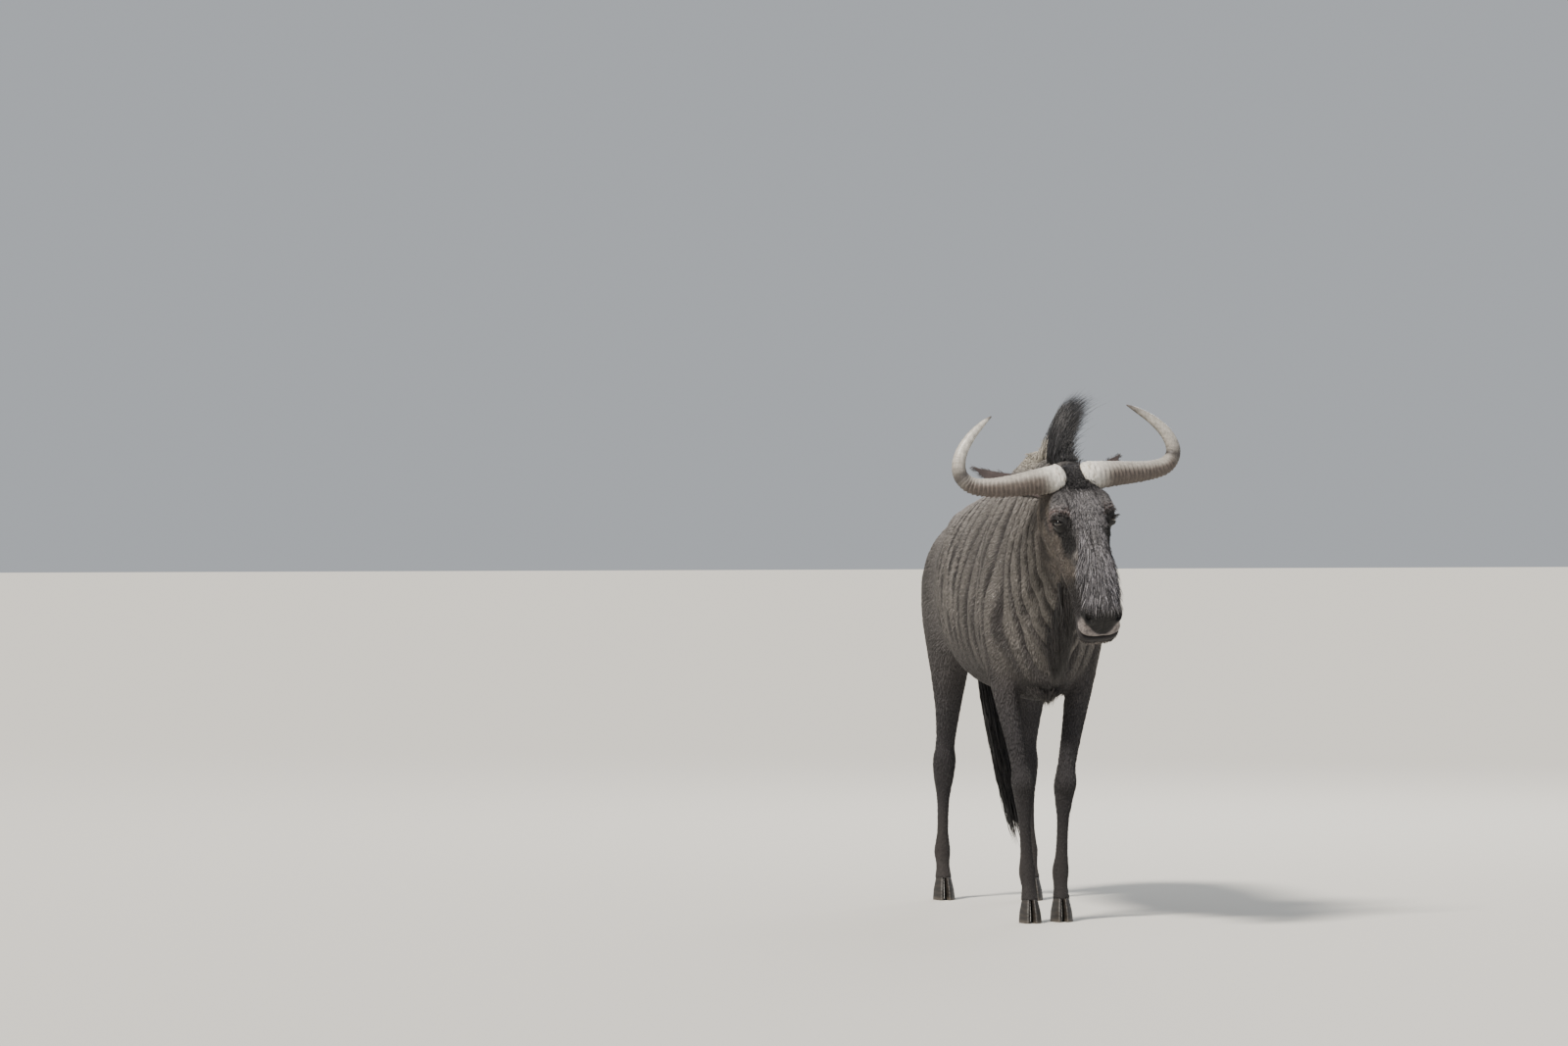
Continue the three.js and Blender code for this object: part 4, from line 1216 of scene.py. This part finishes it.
# %% Strands from roots
def strand_piece(name, roots, starts, bends, tips, width, shades, slot_name="hair", k=7, wave=0.006):
    """Long hair in body millimetres: each strand leaves its root, bends, and ends in a fine tip."""
    n = len(roots)
    roots, starts, bends, tips = (p / 1000 for p in (roots, starts, bends, tips))
    t = np.linspace(0, 1, k)[None, :, None]
    a, b, c, d = (p[:, None] for p in (roots, starts, bends, tips))
    paths = a * (1 - t) ** 3 + 3 * b * t * (1 - t) ** 2 + 3 * c * t**2 * (1 - t) + d * t**3
    swing = unit(rng.normal(size=(n, 1, 3))) * wave
    turns = rng.uniform(1.0, 2.2, (n, 1, 1))
    paths = paths + swing * np.sin(t * np.pi * turns) * t
    facing = unit(np.cross(tips - roots, rng.normal(size=(n, 3))))
    profile = np.interp(np.linspace(0, 1, k), [0, 0.3, 0.7, 1], [0.75, 1.0, 0.75, 0.05])
    widths = (width / 1000) * rng.uniform(0.7, 1.3, n)[:, None] * profile
    low, high = shades
    mixed = tone(low) + (tone(high) - tone(low)) * rng.random((n, 1)) ** 2
    colours = mixed[:, None] * np.linspace(0.85, 1.2, k)[None, :, None]
    patches = nearest_patch(roots)
    return spikes(name, paths, facing, widths, 0.9, colours, patches, slot_name, long_look)


face_middles = middle[::3]
tree_of_places = KDTree(len(face_middles))
for i, p in enumerate(face_middles):
    tree_of_places.insert(p, i)
tree_of_places.balance()
face_uv = skin_uv.mean(1)[::3]


def nearest_patch(places):
    """The unwrap of the skin nearest to each place."""
    found = [tree_of_places.find(p)[1] for p in places]
    return face_uv[found]


def keel_at(table, y):
    """x and height of the underside of a body part at each y."""
    rows = along(table, np.linspace(0, 1, 120))
    rows = rows[np.argsort(rows[:, 1])]
    return np.interp(y, rows[:, 1], rows[:, 0]), np.interp(y, rows[:, 1], rows[:, 2] - rows[:, 5])


# %% [markdown]
# The mane starts behind the horns, stands highest over the middle of the neck, and ends in short pale
# hair at the withers, lightened further by painted sunlight on its sun side. The line of its roots is
# read from the skin, because the smoothing has moved the crest away from the measured sections.

# %% Mane
MANE_START, MANE_LENGTH = -822, 487
crest_bins = np.arange(-930.0, -290.0, 14.0)
body = skin_points * 1000
behind_head = ~before(body[:, 1], body[:, 2], HEAD_CUT)
crest_line = []
for y in crest_bins:
    ring = body[behind_head & (np.abs(body[:, 1] - y) < 9)]
    crest_line.append(ring[ring[:, 2].argmax(), [0, 2]] if len(ring) else (np.nan, np.nan))
crest_line = np.array(crest_line)
known = ~np.isnan(crest_line[:, 0])


def mane_strands(name, count, span, spread, sizes, colours, width):
    """Strands along the crest between two shares of the mane's length."""
    share = rng.random(count)
    t = span[0] + (span[1] - span[0]) * share
    size = sizes[0] + (sizes[1] - sizes[0]) * share
    y = MANE_START + MANE_LENGTH * t
    crest_x, crest_z = (np.interp(y, crest_bins[known], line[known]) for line in crest_line.T)
    row = rng.normal(spread[0], spread[1], count)
    plume = np.sin(np.pi * np.clip(0.06 + t * 1.05, 0, 1)) ** 0.7
    length = size * (58 + 126 * plume) * rng.uniform(0.7, 1.1, count)
    length *= (0.3 + 0.7 * ramp(t, 0, 0.22)) * (1 - 0.8 * ramp(t, 0.72, 1.0))
    fall = ramp(t, 0.52, 0.84)
    lean = (0.1 + 0.32 * plume) * (1 - fall) + 0.72 * fall
    lean += rng.normal(0, 0.05, count) + 0.22 * plume * rng.random(count) ** 3 * (1 - fall)
    rise = 0.98 - 0.8 * fall
    back = 0.02 + 0.38 * t
    roots = vectors(crest_x + row, y, crest_z - 10 - 0.15 * np.abs(row))
    skin_depth = 10 - 4 * ramp(t, 0.8, 1.0)
    aside, behind = length * lean, length * back
    up = vectors(aside * 0.02, behind * 0.15, skin_depth + 5 + length * 0.36 * rise)
    bent = skin_depth + length * (0.74 * rise - 0.1 * fall)
    over = vectors(aside * 0.25, behind * 0.5, bent)
    end = vectors(aside, behind, skin_depth + length * (rise - 0.85 * fall))
    end[:, 0] += row * rng.uniform(0.0, 0.9, count)
    return strand_piece(name, roots, roots + up, roots + over, roots + end, width, colours)


mane_strands("mane", 3300, (0.0, 1.0), (2, 7), (1.0, 1.0), ("#0C0C0E", "#343336"), 1.9)
mane_strands("nape_hair", 600, (-0.22, 0.10), (4, 12), (1.6, 1.3), ("#0F0F11", "#2A292C"), 2.0)
mane_strands("mane_wisps", 600, (0.22, 0.66), (4, 9), (1.02, 1.16), ("#1E1D20", "#57565A"), 1.3)
# short pale hair along the crest, lightened further by painted sunlight on the sun side
mane_strands("mane_edge", 900, (0.50, 1.02), (-15, 6), (0.42, 0.08), ("#77736C", "#C2BBAD"), 1.9)

# %% [markdown]
# The beard grows along the lowest line of the throat. Its strands hang almost straight down, longest
# in the middle, with their tips a little behind their roots.

# %% Beard
count = 2600
t = rng.random(count)
y = -905 + 225 * t
keel_x, keel_z = keel_at(NECK, y)
row = rng.normal(0, 12, count)
length = (100 + 55 * np.sin(np.pi * (0.15 + 0.8 * t))) * rng.uniform(0.55, 1.05, count)
length -= np.abs(row) * 0.8
roots = vectors(keel_x + row, y, keel_z + 10 + np.abs(row) * 0.9)
starts = roots + vectors(row * 0.25, -4, -length * 0.35)
bends = roots + vectors(row * 0.2, 0, -length * 0.7)
ends = [keel_x + row * 0.5 + rng.normal(0, 6, count), y + rng.uniform(4, 22, count), keel_z - length]
strand_piece("beard", roots, starts, bends, vectors(*ends), 2.2, ("#0E0D0F", "#2E2A2A"), k=6)


# %% [markdown]
# Hair on the head leaves the skin along one direction and then lies or hangs along another. Under the
# jaw it hangs towards the ground.


# %% Loose hair that hangs from the head
def head_strands(name, roots, out, fall, length, width, shades, k=5, wave=0.004):
    """Strands from head millimetres that leave along out and then hang along fall."""
    world_roots = moved(roots, HEAD)
    out, fall = unit(out @ HEAD[:3, :3].T), unit(fall @ HEAD[:3, :3].T)
    long = length[:, None]
    starts = world_roots + out * long * 0.28 + fall * long * 0.12
    bends = world_roots + out * long * 0.30 + fall * long * 0.62
    tips = world_roots + out * long * 0.16 + fall * long
    return strand_piece(name, world_roots, starts, bends, tips, width, shades, k=k, wave=wave)


WORLD_DOWN = np.array([0, 0, -1.0]) @ HEAD[:3, :3]
count = 1500
t = rng.random(count)
side_draw = rng.uniform(-1, 1, count)
roots = vectors(side_draw * 44, 205 + 240 * t, -112 + 14 * t + 16 * side_draw**2)
out = vectors(side_draw * 0.8, 0, -1)
length = (86 - 42 * t) * rng.uniform(0.55, 1.1, count)
downwards = np.tile(WORLD_DOWN, (count, 1))
head_strands("jaw_hair", roots, out, downwards, length, 2.0, ("#100F10", "#332E2C"))

# %% [markdown]
# The nose carries a brush of long grey and black hair that lies towards the nostrils. It is shorter on
# the forehead, and between the horns it stands up.

# %% The shaggy hair of the nose, forehead and poll
skull_rows = along(SKULL, np.linspace(0, 1, 200))


def on_face(x, y):
    """The head millimetres of the face's front surface at x and y."""
    side, up, roof, level = (np.interp(y, skull_rows[:, 1], skull_rows[:, k]) for k in (3, 4, 6, 2))
    share = np.clip(np.abs(x) / side, 0, 0.985)
    return vectors(x, y, level + up * (1 - share**roof) ** (1 / roof))


count = 5000
y = 150 + 246 * rng.random(count) ** 0.85
x = rng.uniform(-1, 1, count) * np.interp(y, [150, 230, 300, 350, 396], [30, 42, 52, 46, 34])
roots = on_face(x, y) - [0, 0, 2]
shaggy = ramp(y, 150, 300)
out = vectors(x / 60, 0.55, 0.75 - 0.3 * np.abs(x) / 60)
fall = vectors(x / 150 + rng.normal(0, 0.10, count), 1, -0.08 - 0.3 * np.abs(x) / 60)
length = (20 + 28 * shaggy) * rng.uniform(0.5, 1.25, count)
head_strands("nose_hair", roots, out, fall, length, 1.5, ("#161517", "#A09DA2"), k=4, wave=0.004)
count = 2600
y = rng.uniform(40, 165, count)
x = rng.uniform(-1, 1, count) * 50
roots = on_face(x, y) - [0, 0, 2]
out = vectors(x / 90, 0.6, 0.5)
fall = vectors(x / 160 + rng.normal(0, 0.12, count), 1, 0.04)
length = rng.uniform(12, 22, count)
head_strands("forehead_hair", roots, out, fall, length, 1.4, ("#242326", "#8A878A"), k=4, wave=0.002)
count = 1700
y = -38 + 76 * rng.random(count) ** 1.6
x = rng.normal(-4, 14, count) * (1 + 0.012 * np.clip(y, 0, 60))
roots = on_face(x, y) - [0, 0, 4]
out = vectors(x / 60, -0.5, 1)
fall = vectors(rng.normal(0, 0.3, count), 0.7, 0.5)
length = rng.uniform(18, 34, count)
head_strands("poll_hair", roots, out, fall, length, 1.8, ("#131214", "#39373A"), k=4)

# %% [markdown]
# A small tuft hangs from the brisket between the forelegs. The tail's dock has short hair only. Below
# it the long hair starts all round and ends in a loose point.

# %% Brisket tuft
count = 900
x = rng.normal(-4, 24, count)
roots = vectors(x, -545 + rng.normal(0, 14, count), 704 + rng.uniform(-8, 12, count))
length = (rng.uniform(14, 40, count) * bell(x, 40) + 9)[:, None]
aim = vectors(-x * 0.012, 0.12, -1)
tips = roots + aim * length + rng.normal(0, 4, (count, 3))
bends = (roots * 0.35 + tips * 0.65) + [0, -6, 0]
starts = roots * 0.7 + tips * 0.3
strand_piece("brisket_tuft", roots, starts, bends, tips, 1.8, ("#1A1819", "#3A3534"), k=5)

# %% Tail
count = 4200
t = 0.34 + 0.52 * rng.random(count) ** 1.15
rows, ahead = along(TAIL, t), along(TAIL, t + 0.05)
hang = unit(ahead[:, :3] - rows[:, :3])
angle = rng.uniform(0, 2 * np.pi, count)
out = vectors(np.cos(angle), np.sin(angle), 0)
reach = np.sqrt(rng.random(count))[:, None]
roots = rows[:, :3] + out * rows[:, 3:4] * 0.7
low_end = 152 + 120 * rng.random(count) ** 1.6
length = (215 + 60 * np.sin(np.pi * t)) * rng.uniform(0.7, 1.05, count)
length = np.minimum(length, (roots[:, 2] - low_end) / -hang[:, 2])[:, None]
share = np.sin(np.pi * np.minimum(1, (t - 0.3) * 1.35))[:, None]
starts = roots + hang * length * 0.3 + out * 20 * (0.35 + share) * reach
bends = roots + hang * length * 0.65 + out * 25 * (0.35 + share) * reach
tips = roots + hang * length + out * 10 * reach
shades = ("#0C0B0D", "#262325")
tail_hair = strand_piece("tail_hair", roots, starts, bends, tips, 3.0, shades, k=6, wave=0.008)
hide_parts("tail_tuft")

# %% [markdown]
# ## Horns
# Horn is keratin over bone: a rough, pale boss over the forehead, cross ridges on the underside of
# the beam, a dark band at the bend, and a smooth pale point.

# %% Horn sections in the head's frame: x, y, z, radius
HORN = [
    [18, 0, -6, 24],
    [34, 2, -8, 40],
    [82, 4, -14, 40],
    [136, 4, -24, 36],
    [192, 4, -38, 32],
    [248, 0, -50, 28],
    [298, -12, -58, 25],
    [328, -38, -58, 22.5],
    [336, -72, -50, 20.5],
    [322, -114, -38, 18],
    [288, -156, -26, 14],
    [246, -190, -18, 8.5],
    [216, -209, -15, 2],
]
LEFT_SWELL = (17, -13)  # how much farther the left horn bends outwards and upwards
RIGHT_START = (15, 15, 6)  # how much farther from the middle the right horn's boss starts
HORN_STEPS, HORN_SIDES = 320, 40


def horn_colour(t, under, grain, old):
    """Chalky boss, grey beam with a brown underside deepened by painted shade, dark bend, pale point."""
    beam = band(t, 0.10, 0.22, 0.52, 0.60)
    colour = layered(
        plain("#97928A", len(t)),
        ("#CCC9C1", fade(t, 0.10, 0.24)),
        ("#7F7160", fade(t, 0.06, 0.22) * ramp(grain, 0.35, 1.0) * 0.85),
        # browner underside of the beam, darkened further by painted shade
        ("#4E443E", beam * ramp(under, -0.15, 0.6) * 0.95),
        ("#35302E", bell(t - 0.60, 0.055) * 0.95),
        ("#BBB7AE", ramp(t, 0.66, 0.78) * (0.85 - 0.45 * old)),
        ("#6B625B", ramp(t, 0.66, 0.74) * ramp(-under, 0.0, 0.7) * (0.35 + 0.5 * old)),
        ("#4F4844", ramp(t, 0.93 - 0.12 * old, 0.98) * 0.9),
    )
    return colour * np.clip(1 + 0.20 * grain, 0.45, 1.4)[:, None]


# %% [markdown]
# Rings follow the curve through the sections. A saw-toothed wave along the beam raises the ridges,
# most on the underside, and ripples roughen the boss.


# %% Shape of a horn
def make_horn(name, side):
    swell = np.sin(np.pi * np.arange(len(HORN)) / (len(HORN) - 1)) ** 2 * (side > 0)
    table = np.array(HORN, float)
    table[:, 0] += LEFT_SWELL[0] * swell
    table[:, 1] += LEFT_SWELL[1] * swell
    if side < 0:
        table[:3, 0] += RIGHT_START
    t = np.linspace(0, 1, HORN_STEPS + 1)
    rows = along(table, t)
    rows[:, 0] *= side
    centre, radius = rows[:, :3], rows[:, 3]
    tangent = unit(np.gradient(centre, axis=0))
    flat = unit(np.cross(tangent, Z_AXIS))
    out = np.cross(flat, tangent)
    angle = 2 * np.pi * np.arange(HORN_SIDES) / HORN_SIDES
    ring = flat[:, None] * np.cos(angle)[None, :, None] + out[:, None] * np.sin(angle)[None, :, None]
    grid = centre[:, None] + ring * radius[:, None, None]
    flat_grid = grid.reshape(-1, 3)
    tt = np.repeat(t, HORN_SIDES)
    down = (ring @ np.array([0, 0.94, 0.34])).ravel()
    boss = fade(tt, 0.06, 0.2)
    ridge_zone = band(tt, 0.1, 0.2, 0.5, 0.62)
    ridge = ((50 * tt + 0.12 * ripple(flat_grid, 60, 51)) % 1) ** 1.4
    pits = np.clip(ripple(flat_grid, 13, 57) - 0.35, 0, 1)
    relief = boss * (1.8 * ripple(flat_grid, 18, 52) + 1.0 * ripple(flat_grid, 7, 53) - 5.0 * pits)
    relief += ridge_zone * (0.12 + 0.88 * ramp(down, -0.35, 0.5)) * 4.6 * (ridge - 0.6)
    relief += 0.5 * ripple(flat_grid * (0.35, 1, 1), 10, 58) * ridge_zone
    relief += 0.35 * ripple(flat_grid, 9, 54) * fade(tt, 0.6, 0.9)
    flat_grid = flat_grid + ring.reshape(-1, 3) * relief[:, None]
    grain = 0.6 * ripple(flat_grid, 18, 55) + 0.6 * ripple(flat_grid, 6, 56) + 1.2 * boss * pits
    grain += ridge_zone * (ridge - 0.6) * (0.4 + 1.2 * ramp(down, -0.3, 0.5))
    colour = horn_colour(tt, down, grain, side > 0)
    faces = ring_faces(HORN_STEPS, HORN_SIDES)
    nodes = [f"horn_base_{name}", f"horn_tip_{name}"]
    bare = ramp(tt, 0.5, 0.8)
    painted_piece(f"horn_{name}", moved(flat_grid, HEAD), faces, colour, bare, horn_look, "horn", *nodes)


# %% [markdown]
# Horn is duller at its old, chalky boss than at the point, which rubbing has polished. The markings'
# alpha carries that change from dull to glossy.

# %% Horn material: old keratin, chalky at the boss and polished towards the point
horn_look = marked_material(
    "weathered_keratin_horn",
    (140.0, 5.0, 0.65),  # flakes of 7 mm
    (0.2, 0.78, 1.14),
    {"IOR": 1.54},
    dull=(0.68, 0.38),
    bump=(0.45, 0.0015),
)
for name, side in SIDES:
    make_horn(name, side)

# %% [markdown]
# ## Ears
# Each ear is a leaf rolled into a cup, thin at its edge, furred outside and nearly bare inside.

# %% Ears
EAR_ROOT, EAR_TIP, EAR_WIDE = np.array([66, 22, -98.0]), np.array([240, -118, -190.0]), 40.0
EAR_PROFILE = [[0.5, 1], [0.62, 1.15], [0.95, 0.95], [1, 0.7], [0.9, 0.5], [0.66, 0.36], [0.16, 0.12]]


def make_ear(name, side):
    mirror = np.array([side, 1, 1])
    root, tip = EAR_ROOT * mirror, EAR_TIP * mirror
    axis = unit(tip - root)
    wide = unit(np.cross(axis, unit(np.array([0, 0.25, -1]))))
    deep = -unit(np.cross(wide, axis))
    steps, half = 40, 14
    t = np.linspace(0, 1, steps + 1)
    share, curl = along(EAR_PROFILE, t).T
    k = np.arange(-half, half + 1) / half
    rings = []
    for i in range(steps + 1):
        radius = EAR_WIDE * share[i]
        wall = min(4.0, radius * 0.45)
        ring = []
        for r, order in ((radius, 1), (radius - wall, -1)):
            angle = order * k * 1.9 * min(curl[i], 1)
            ruffle = 1 + 0.02 * np.sin(9 * t[i] + 3 * k)
            ring.append(
                root
                + (tip - root) * t[i]
                + wide * (np.sin(angle / 1.25) * r * ruffle)[:, None]
                - deep * (np.cos(angle) * r * 0.7 * curl[i])[:, None]
            )
        rings.append(np.vstack(ring))
    count = 2 * (2 * half + 1)
    verts = np.vstack(rings)
    inner = np.tile(np.concatenate([np.zeros(2 * half + 1), np.ones(2 * half + 1)]), steps + 1)
    tt = np.repeat(t, count)
    layers = ("#403736", inner * 0.9), ("#2A2525", ramp(tt, 0.55, 1) * 0.5)
    colour = layered(plain("#3B3534", len(verts)), *layers)
    colour *= (1 + 0.12 * ripple(verts, 14, 61))[:, None]
    hairs = 600
    chosen = rng.choice(np.flatnonzero((tt > 0.06) & (tt < 0.97)), hairs)
    away = unit(verts[chosen] - (root + (tip - root) * tt[chosen, None]))
    along_ear = axis + away * 0.25 + rng.normal(0, 0.12, (hairs, 3))
    long = rng.uniform(9, 20, hairs)
    shades = ("#1E1A1A", "#5A504B")
    roots = verts[chosen]
    head_strands(f"ear_hair_{name}", roots, away + axis, along_ear, long, 1.1, shades, k=4, wave=0.001)
    faces, bare = ring_faces(steps, count), inner * 0.4
    leaf = moved(verts, HEAD)
    painted_piece(f"ear_leaf_{name}", leaf, faces, colour, bare, skin_look, "coat", f"ear_{name}")


for name, side in SIDES:
    make_ear(name, side)

# %% [markdown]
# ## Eyes
# A wildebeest's eye is dark brown with a level, oblong pupil. The ball sits deep behind the lids, and
# a clear wet surface gives its highlight.

# %% Eyeballs
eye_look, tree = new_material("wet_brown_eye")
colour = add_node(tree, "ShaderNodeVertexColor", {"layer_name": "markings"})
close_material(
    tree,
    {"Roughness": 0.06, "IOR": 1.376, "Coat Weight": 1.0, "Coat Roughness": 0.02},
    {"Base Color": colour.outputs["Color"]},
)


EYEBALL, LID_RADIUS = 19.4, 22.0


def eye_frame(side):
    """The eye's middle, the way it looks, the line of its slit, and the way up its upper lid."""
    mirror = np.array([side, 1, 1])
    return EYE_AT * mirror, EYE_AXIS * mirror, SLIT * mirror, LID_UP * mirror


def make_eyeball(name, side):
    bpy.ops.object.select_all(action="DESELECT")
    bpy.ops.mesh.primitive_uv_sphere_add(segments=96, ring_count=64, radius=1)
    ball = bpy.context.object
    ball.name = f"eyeball_{name}"
    mesh = ball.data
    local = read(mesh.vertices, "co")
    centre, axis, slit, up = eye_frame(side)
    bulge = 1.2 * bell(1 - local[:, 2], 0.16)
    places = (
        centre
        + axis * (local[:, 2] * EYEBALL + bulge)[:, None]
        + slit * (local[:, 0] * EYEBALL)[:, None]
        + up * (local[:, 1] * EYEBALL)[:, None]
    )
    from_axis = np.hypot(local[:, 0], local[:, 1])
    angle = np.arctan2(local[:, 1], local[:, 0])
    iris = fade(from_axis, 0.60, 0.66)
    pupil = fade((local[:, 0] / 0.36) ** 2 + (local[:, 1] / 0.16) ** 2, 0.8, 1.2)
    rays = (0.5 + 0.5 * np.sin(angle * 26)) * ramp(from_axis, 0.2, 0.45)
    colour = layered(
        plain("#1A1412", len(local)),
        ("#140C08", iris),
        ("#2A190D", iris * rays * 0.5),
        ("#050505", pupil * (local[:, 2] > 0)),
    )
    write_points(mesh, moved(places, HEAD) / 1000)
    paint(mesh, colour, np.zeros(len(local)))
    edit(ball, bpy.ops.mesh.normals_make_consistent, inside=False)
    mesh.shade_smooth()
    mesh.materials.append(eye_look)
    settle(ball, "eye", f"eye_{name}")


# %% [markdown]
# The lids end in a thin moist edge. It is a tube along the almond of the opening.


# %% Lid rims
def make_lid_rim(name, side):
    """The moist edge of both lids, a thin ring that follows the almond opening."""
    centre, axis, slit, up = eye_frame(side)
    around, across = 96, 10
    a = 2 * np.pi * np.arange(around) / around
    wide = 19.3 * np.cos(a)
    tall = 9.6 * np.sin(a) * (1 - 0.25 * np.cos(a) ** 2)
    flat = slit * wide[:, None] + up * tall[:, None]
    out = np.sqrt(np.maximum(LID_RADIUS**2 - wide**2 - tall**2, 16))
    path = centre + flat + axis * out[:, None]
    radial, outward = unit(flat), unit(path - centre)
    b = 2 * np.pi * np.arange(across) / across
    size = 1.7 - 0.4 * np.cos(a) ** 2
    tube = (
        path[:, None]
        + radial[:, None] * (np.cos(b)[None, :, None] * size[:, None, None])
        + outward[:, None] * (np.sin(b)[None, :, None] * size[:, None, None] * 1.1)
    )
    verts = tube.reshape(-1, 3)
    faces = []
    for i in range(around):
        a, b = i * across, (i + 1) % around * across
        for j in range(across):
            k = (j + 1) % across
            faces.append((a + j, b + j, b + k, a + k))
    colour, bare = plain("#0D0B0C", len(verts)), np.full(len(verts), 0.4)
    painted_piece(f"lid_rim_{name}", moved(verts, HEAD), faces, colour, bare, skin_look, "coat")


# %% [markdown]
# Short stiff lashes grow along the upper lid and droop over the eye.


# %% Lashes
def make_lashes(name, side):
    """Short stiff hairs along the upper lid."""
    centre, axis, slit, up = eye_frame(side)
    count = 130
    a = np.pi * rng.uniform(0.08, 0.92, count)
    flat = slit * (19.6 * np.cos(a))[:, None] + up * (10.0 * np.sin(a))[:, None]
    out = np.sqrt((LID_RADIUS + 0.6) ** 2 - (flat**2).sum(1))[:, None]
    roots = centre + flat + axis * out
    splay = axis + flat * 0.03 + rng.normal(0, 0.10, (count, 3)) * (side, 1, 1)
    droop = splay - up * 0.5
    length = rng.uniform(10, 17, count)
    shades = ("#0B0A0A", "#171414")
    head_strands(f"eyelashes_{name}", roots, splay, droop, length, 0.8, shades, wave=0.001)


for name, side in SIDES:
    make_eyeball(name, side)
    make_lid_rim(name, side)
    make_lashes(name, side)

# %% [markdown]
# ## Hooves
# A cloven hoof is two claws of hard dark horn, worn dull by the ground. Growth rings run round each
# claw, and the walls slope forward to a blunt toe.

# %% Hooves
HOOF_LENGTH, HOOF_WIDTH, CORONET = 74.0, 33.0, 70.0


def make_hoof(name):
    foot = leg_table(name)[-1]
    parts, faces, start = [], [], 0
    steps, count = 26, 36
    for side in (-1, 1):
        t = np.linspace(0, 1, steps + 1)
        long = np.interp(t, [0, 0.03, 0.45, 1], [0.985, 1, 0.94, 0.72])
        broad = np.interp(t, [0, 0.03, 0.45, 1], [0.97, 1, 0.92, 0.68])
        a = 2 * np.pi * (np.arange(count) + 0.5) / count
        ahead = np.sin(a)[None] * HOOF_LENGTH / 2 * long[:, None] * np.where(np.sin(a) > 0, 1.15, 0.85)
        pinch = 1 - 0.35 * np.clip(np.sin(a), 0, 1)
        inner = np.where(np.cos(a) * side < 0, 0.95, 1.1)
        across = np.cos(a)[None] * HOOF_WIDTH / 2 * broad[:, None] * pinch * inner
        rings = 1 + 0.012 * np.sin(t * 46)[:, None] * ramp(t, 0.05, 0.2)[:, None]
        x = side * (HOOF_WIDTH / 2 + 0.5) * broad[:, None] + across * rings
        x -= side * np.clip(ahead, 0, None) * 0.1
        y = -ahead * rings - (1 - t)[:, None] * 12
        z = np.repeat((CORONET * t)[:, None], count, 1)
        parts.append(vectors(foot[0] + x, foot[1] + y, z).reshape(-1, 3))
        faces += [tuple(reversed(f)) for f in ring_faces(steps, count, start)]
        start += len(parts[-1])
    verts = np.vstack(parts)
    growth = ramp(np.sin(verts[:, 2] / 3.1 + ripple(verts, 30, 71)), 0.1, 1)
    layers = ("#38322C", growth * 0.5), ("#4C463F", fade(verts[:, 2], 3, 16) * 0.5)
    colour = layered(plain("#1F1C19", len(verts)), *layers)
    bare = np.full(len(verts), 0.5)
    painted_piece(f"claws_{name}", verts, faces, colour, bare, hoof_look, "hoof", f"hoof_{name}")


hoof_look = marked_material(
    "hard_hoof_horn",
    (180.0, 3.0, 0.5),  # flecks of 5 to 6 mm
    (0.2, 1.0, 1.0),
    {"Roughness": 0.5, "IOR": 1.54},
    bump=(0.35, 0.001),
)
for name in STANCE:
    make_hoof(name)
